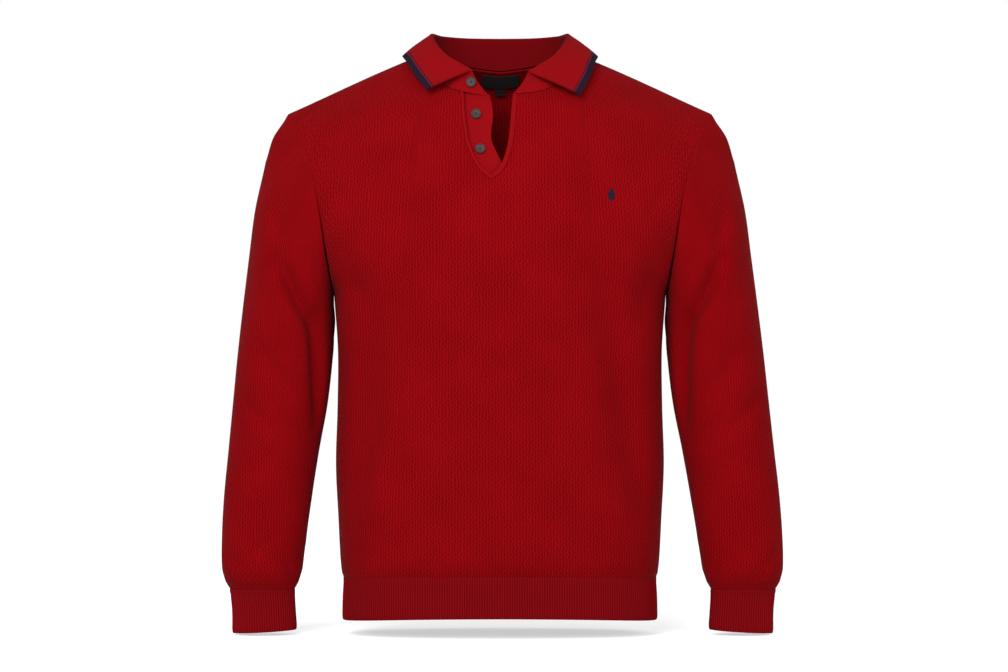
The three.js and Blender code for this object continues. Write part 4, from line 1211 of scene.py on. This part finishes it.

# %% Ribbed knit
# The ribs are real, and the furrows between them are painted a deeper red as shade, with a random fibre grain
# on top.
rib_knit, shader = new_finish("dyed_rib_knit")
woolly(shader)
across, _, place = cloth_place(rib_knit)
ridge = wave(rib_knit, add(rib_knit, "Math", across, 1 / RIB_PITCH["hem"], operation="MULTIPLY"))
fibre = add(rib_knit, "TexNoise", place, Scale=1.6, Detail=3.0)
grain = add(rib_knit, "Math", fibre, 0.35, operation="MULTIPLY")
share = add(rib_knit, "Math", ridge, 0.65, grain, operation="MULTIPLY_ADD")
colour = add(rib_knit, "Mix", share, linear("360102"), linear("5d0308"), data_type="RGBA")
dress(rib_knit, shader, colour, share, depth=0.4, strength=0.5)
print("rib knit:", RIB_PITCH, "mm a rib")

# %% Smooth knit
TIPPING = (7.0, 8.2, 9.6)  # navy up to the first, red up to the second, navy up to the third
FINE_WALE = 1.3
STAND_SHADE_SHARE = 0.64  # how far the painted shade darkens the stand inside the back of the collar


def smooth_knit(name, tipped):
    """A fine flat knit. Tipped, it has a navy edge with a narrow navy line inside it."""
    material, shader = new_finish(name)
    woolly(shader, 0.88)
    across, up, place = cloth_place(material)
    wales = wave(material, add(material, "Math", across, FINE_WALE, operation="DIVIDE"))
    fibre = add(material, "TexNoise", place, Scale=0.9, Detail=3.0)
    both = add(material, "Math", wales, fibre, operation="ADD")
    grain = add(material, "Math", both, 0.5, operation="MULTIPLY")
    colour = add(material, "Mix", grain, linear("4e0103"), linear("620408"), data_type="RGBA")
    if tipped:
        # painted shade: the stand inside the back of the collar is coloured a deeper red
        stand_shade = add(material, "Attribute", attribute_name="stand_shade", out="Fac")
        deeper = add(material, "Math", stand_shade, STAND_SHADE_SHARE, operation="MULTIPLY")
        colour = add(material, "Mix", deeper, colour, linear("360103"), data_type="RGBA")
        edge, gap, line = (add(material, "Math", up, limit, operation="LESS_THAN") for limit in TIPPING)
        red = add(material, "Math", gap, edge, operation="SUBTRACT")
        navy = add(material, "Math", line, red, operation="SUBTRACT")
        colour = add(material, "Mix", navy, colour, linear("0f0c17"), data_type="RGBA")
    dress(material, shader, colour, grain, depth=0.25, strength=0.5)
    print(name, "tipped" if tipped else "plain")
    return material


collar_knit = smooth_knit("dyed_fine_knit_tipped", True)
plain_knit = smooth_knit("dyed_fine_knit", False)

# %% Buttons, thread, label and embroidery
# Moulded polyester button: a dark, slightly cloudy brown with a soft shine on its rim.
button_resin, shader = new_finish("moulded_polyester_resin")
place = add(button_resin, "TexCoord", out="Object")
cloud = add(button_resin, "TexNoise", place, Scale=260.0, Detail=3.0)
colour = add(button_resin, "Mix", cloud, linear("110d0c"), linear("241b18"), data_type="RGBA")
button_resin.node_tree.links.new(colour, shader.inputs["Base Color"])
shader.inputs["Roughness"].default_value = 0.5
shader.inputs["IOR"].default_value = 1.54
shader.inputs["Specular IOR Level"].default_value = 0.14


def spun(name, dark, light, scale):
    """Thread or woven yarn: matt, with a fine change of tone."""
    material, shader = new_finish(name)
    woolly(shader, 0.8)
    place = add(material, "TexCoord", out="Object")
    fibre = add(material, "TexNoise", place, Scale=scale, Detail=2.0)
    colour = add(material, "Mix", fibre, linear(dark), linear(light), data_type="RGBA")
    material.node_tree.links.new(colour, shader.inputs["Base Color"])
    return material


cotton_thread = spun("spun_polyester_thread", "240f0f", "3d1a1a", 1800.0)
navy_thread = spun("navy_embroidery_thread", "0b0910", "17131f", 1500.0)
black_label = spun("woven_black_satin", "0e0c0e", "241f20", 1500.0)
print("finishes:", len(bpy.data.materials))

# %% Give each piece its finish and its body
PIECES = [
    (front, "front", body_knit, "knit"),
    (back, "back", body_knit, "knit"),
    (sleeve_left, "sleeve_left", body_knit, "knit"),
    (sleeve_right, "sleeve_right", body_knit, "knit"),
    (hem_front, "hem_front", rib_knit, "rib"),
    (hem_back, "hem_back", rib_knit, "rib"),
    (cuff_left, "cuff_left", rib_knit, "rib"),
    (cuff_right, "cuff_right", rib_knit, "rib"),
    (collar, "collar", collar_knit, "collar_knit"),
    (button_stand, "button_stand", plain_knit, "collar_knit"),
    (opening_trim, "opening_trim", plain_knit, "collar_knit"),
    (neck_label, "neck_label", black_label, "label"),
    (size_tab, "size_tab", black_label, "label"),
]
PIECES += [(piece, f"button_{i}", button_resin, "button") for i, piece in enumerate(buttons, start=1)]
for piece, node, finish, slot in PIECES:
    piece.data.materials.clear()
    piece.data.materials.append(finish)
    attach(piece, "root")
    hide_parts(node)
SEWN_ON = [(piece, cotton_thread) for piece in (*threads, buttonhole)] + [(motif, navy_thread)]
for piece, finish in SEWN_ON:
    piece.data.materials.clear()
    piece.data.materials.append(finish)
    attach(piece, "root")
print("pieces:", len(PIECES))

# %% [markdown]
# ## What each sheet was cut from
# Each panel's size when flat, before it was linked into the garment, is listed here.

# piece, flat width, flat length and cut area in metres, what it is linked to, and what is sewn on it.
# A body panel's width is taken level with the underarm, and a sleeve's all round, just below it.
# The trim is 3 to 5 mm wide and the tab 9 mm long: too narrow to be sheets of their own, so they go
# with the panel that they are sewn to.
CUTS = [
    (front, 0.547, 0.681, 0.305, (), (opening_trim, motif)),
    (back, 0.536, 0.7, 0.32, (), ()),
    (sleeve_left, 0.4, 0.59, 0.168, (front, back), ()),
    (sleeve_right, 0.399, 0.59, 0.167, (front, back), ()),
    (cuff_left, 0.203, 0.0546, None, (sleeve_left,), ()),
    (cuff_right, 0.203, 0.0546, None, (sleeve_right,), ()),
    (hem_front, 0.489, 0.0533, None, (front,), ()),
    (hem_back, 0.483, 0.0533, None, (back,), ()),
    (collar, 0.526, 0.0999, 0.0373, (front, back), (buttonhole, buttons[0], threads[0])),
    (button_stand, 0.0412, 0.1297, 0.0041, (front,), (*buttons[1:], *threads[1:])),
    (neck_label, 0.0474, 0.0211, None, (back,), (size_tab,)),
]
for piece, width, length, area, rests, carried in CUTS:
    list(rests)
    list(carried)

# %% [markdown]
# ## Floor, light and camera
# A white surround gives soft light from all sides. The floor is a light table, matt acrylic with a
# lamp behind it, so the shadow under the garment stays pale. A large lamp in front and above gives
# the folds a shaded side, and a weaker one low on the other side keeps that from going black.

# %% Stage
FLOOR_SIZE = 40
FLOOR_Z = CAD_BOX[0][2] - 2.45 * MM
bpy.ops.object.select_all(action="DESELECT")
bpy.ops.mesh.primitive_plane_add(size=FLOOR_SIZE, location=(0, 0, 0))
floor = bpy.context.object
floor.name = "pale_floor"
floor.data.transform(Matrix.Translation((0, 0, FLOOR_Z)))
# Matt acrylic lit from behind: it has no shine, and the deepest shadow on it is still light grey.
acrylic, shader = new_finish("lit_matt_acrylic")
shader.inputs["Base Color"].default_value = linear("b3b3b3")
shader.inputs["Emission Color"].default_value = linear("ffffff")
shader.inputs["Emission Strength"].default_value = 0.55
shader.inputs["Roughness"].default_value = 1.0
shader.inputs["Specular IOR Level"].default_value = 0.0
floor.data.materials.append(acrylic)

world = bpy.data.worlds.new("white_surround")
bpy.context.scene.world = world
world.use_nodes = True
surround = world.node_tree.nodes["Background"]
surround.inputs["Color"].default_value = (1, 1, 1, 1)
surround.inputs["Strength"].default_value = 1.0


GARMENT_MIDDLE = Vector((0, 0, -0.35))


def softbox(name, place, size, power):
    bpy.ops.object.select_all(action="DESELECT")
    bpy.ops.object.light_add(type="AREA", location=place)
    lamp = bpy.context.object
    lamp.name = name
    lamp.data.shape = "SQUARE"
    lamp.data.size = size
    lamp.data.energy = power
    aim = GARMENT_MIDDLE - Vector(place)
    lamp.rotation_euler = aim.to_track_quat("-Z", "Y").to_euler()
    return lamp


softbox("key_softbox", place=(-1.3, -3.4, 1.5), size=2.6, power=320)
softbox("fill_softbox", place=(2.2, -3.0, 0.4), size=2.6, power=110)
bpy.context.scene.view_settings.view_transform = "Standard"

# %% Camera
CAMERA_PLACE = (0.005, -4.5, -0.349)  # square on, at the garment's half height
LENS, SENSOR = 131.7, 36

bpy.ops.object.select_all(action="DESELECT")
bpy.ops.object.camera_add(location=CAMERA_PLACE, rotation=(math.radians(90), 0, 0))
camera = bpy.context.object
camera.data.lens = LENS
camera.data.sensor_width = SENSOR
camera.data.clip_end = 100
camera.data.dof.use_dof = False
bpy.context.scene.camera = camera

# %% Measure and finish
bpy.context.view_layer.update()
print("triangles:", sum(len(p.vertices) - 2 for o, *_ in PIECES for p in o.data.polygons))
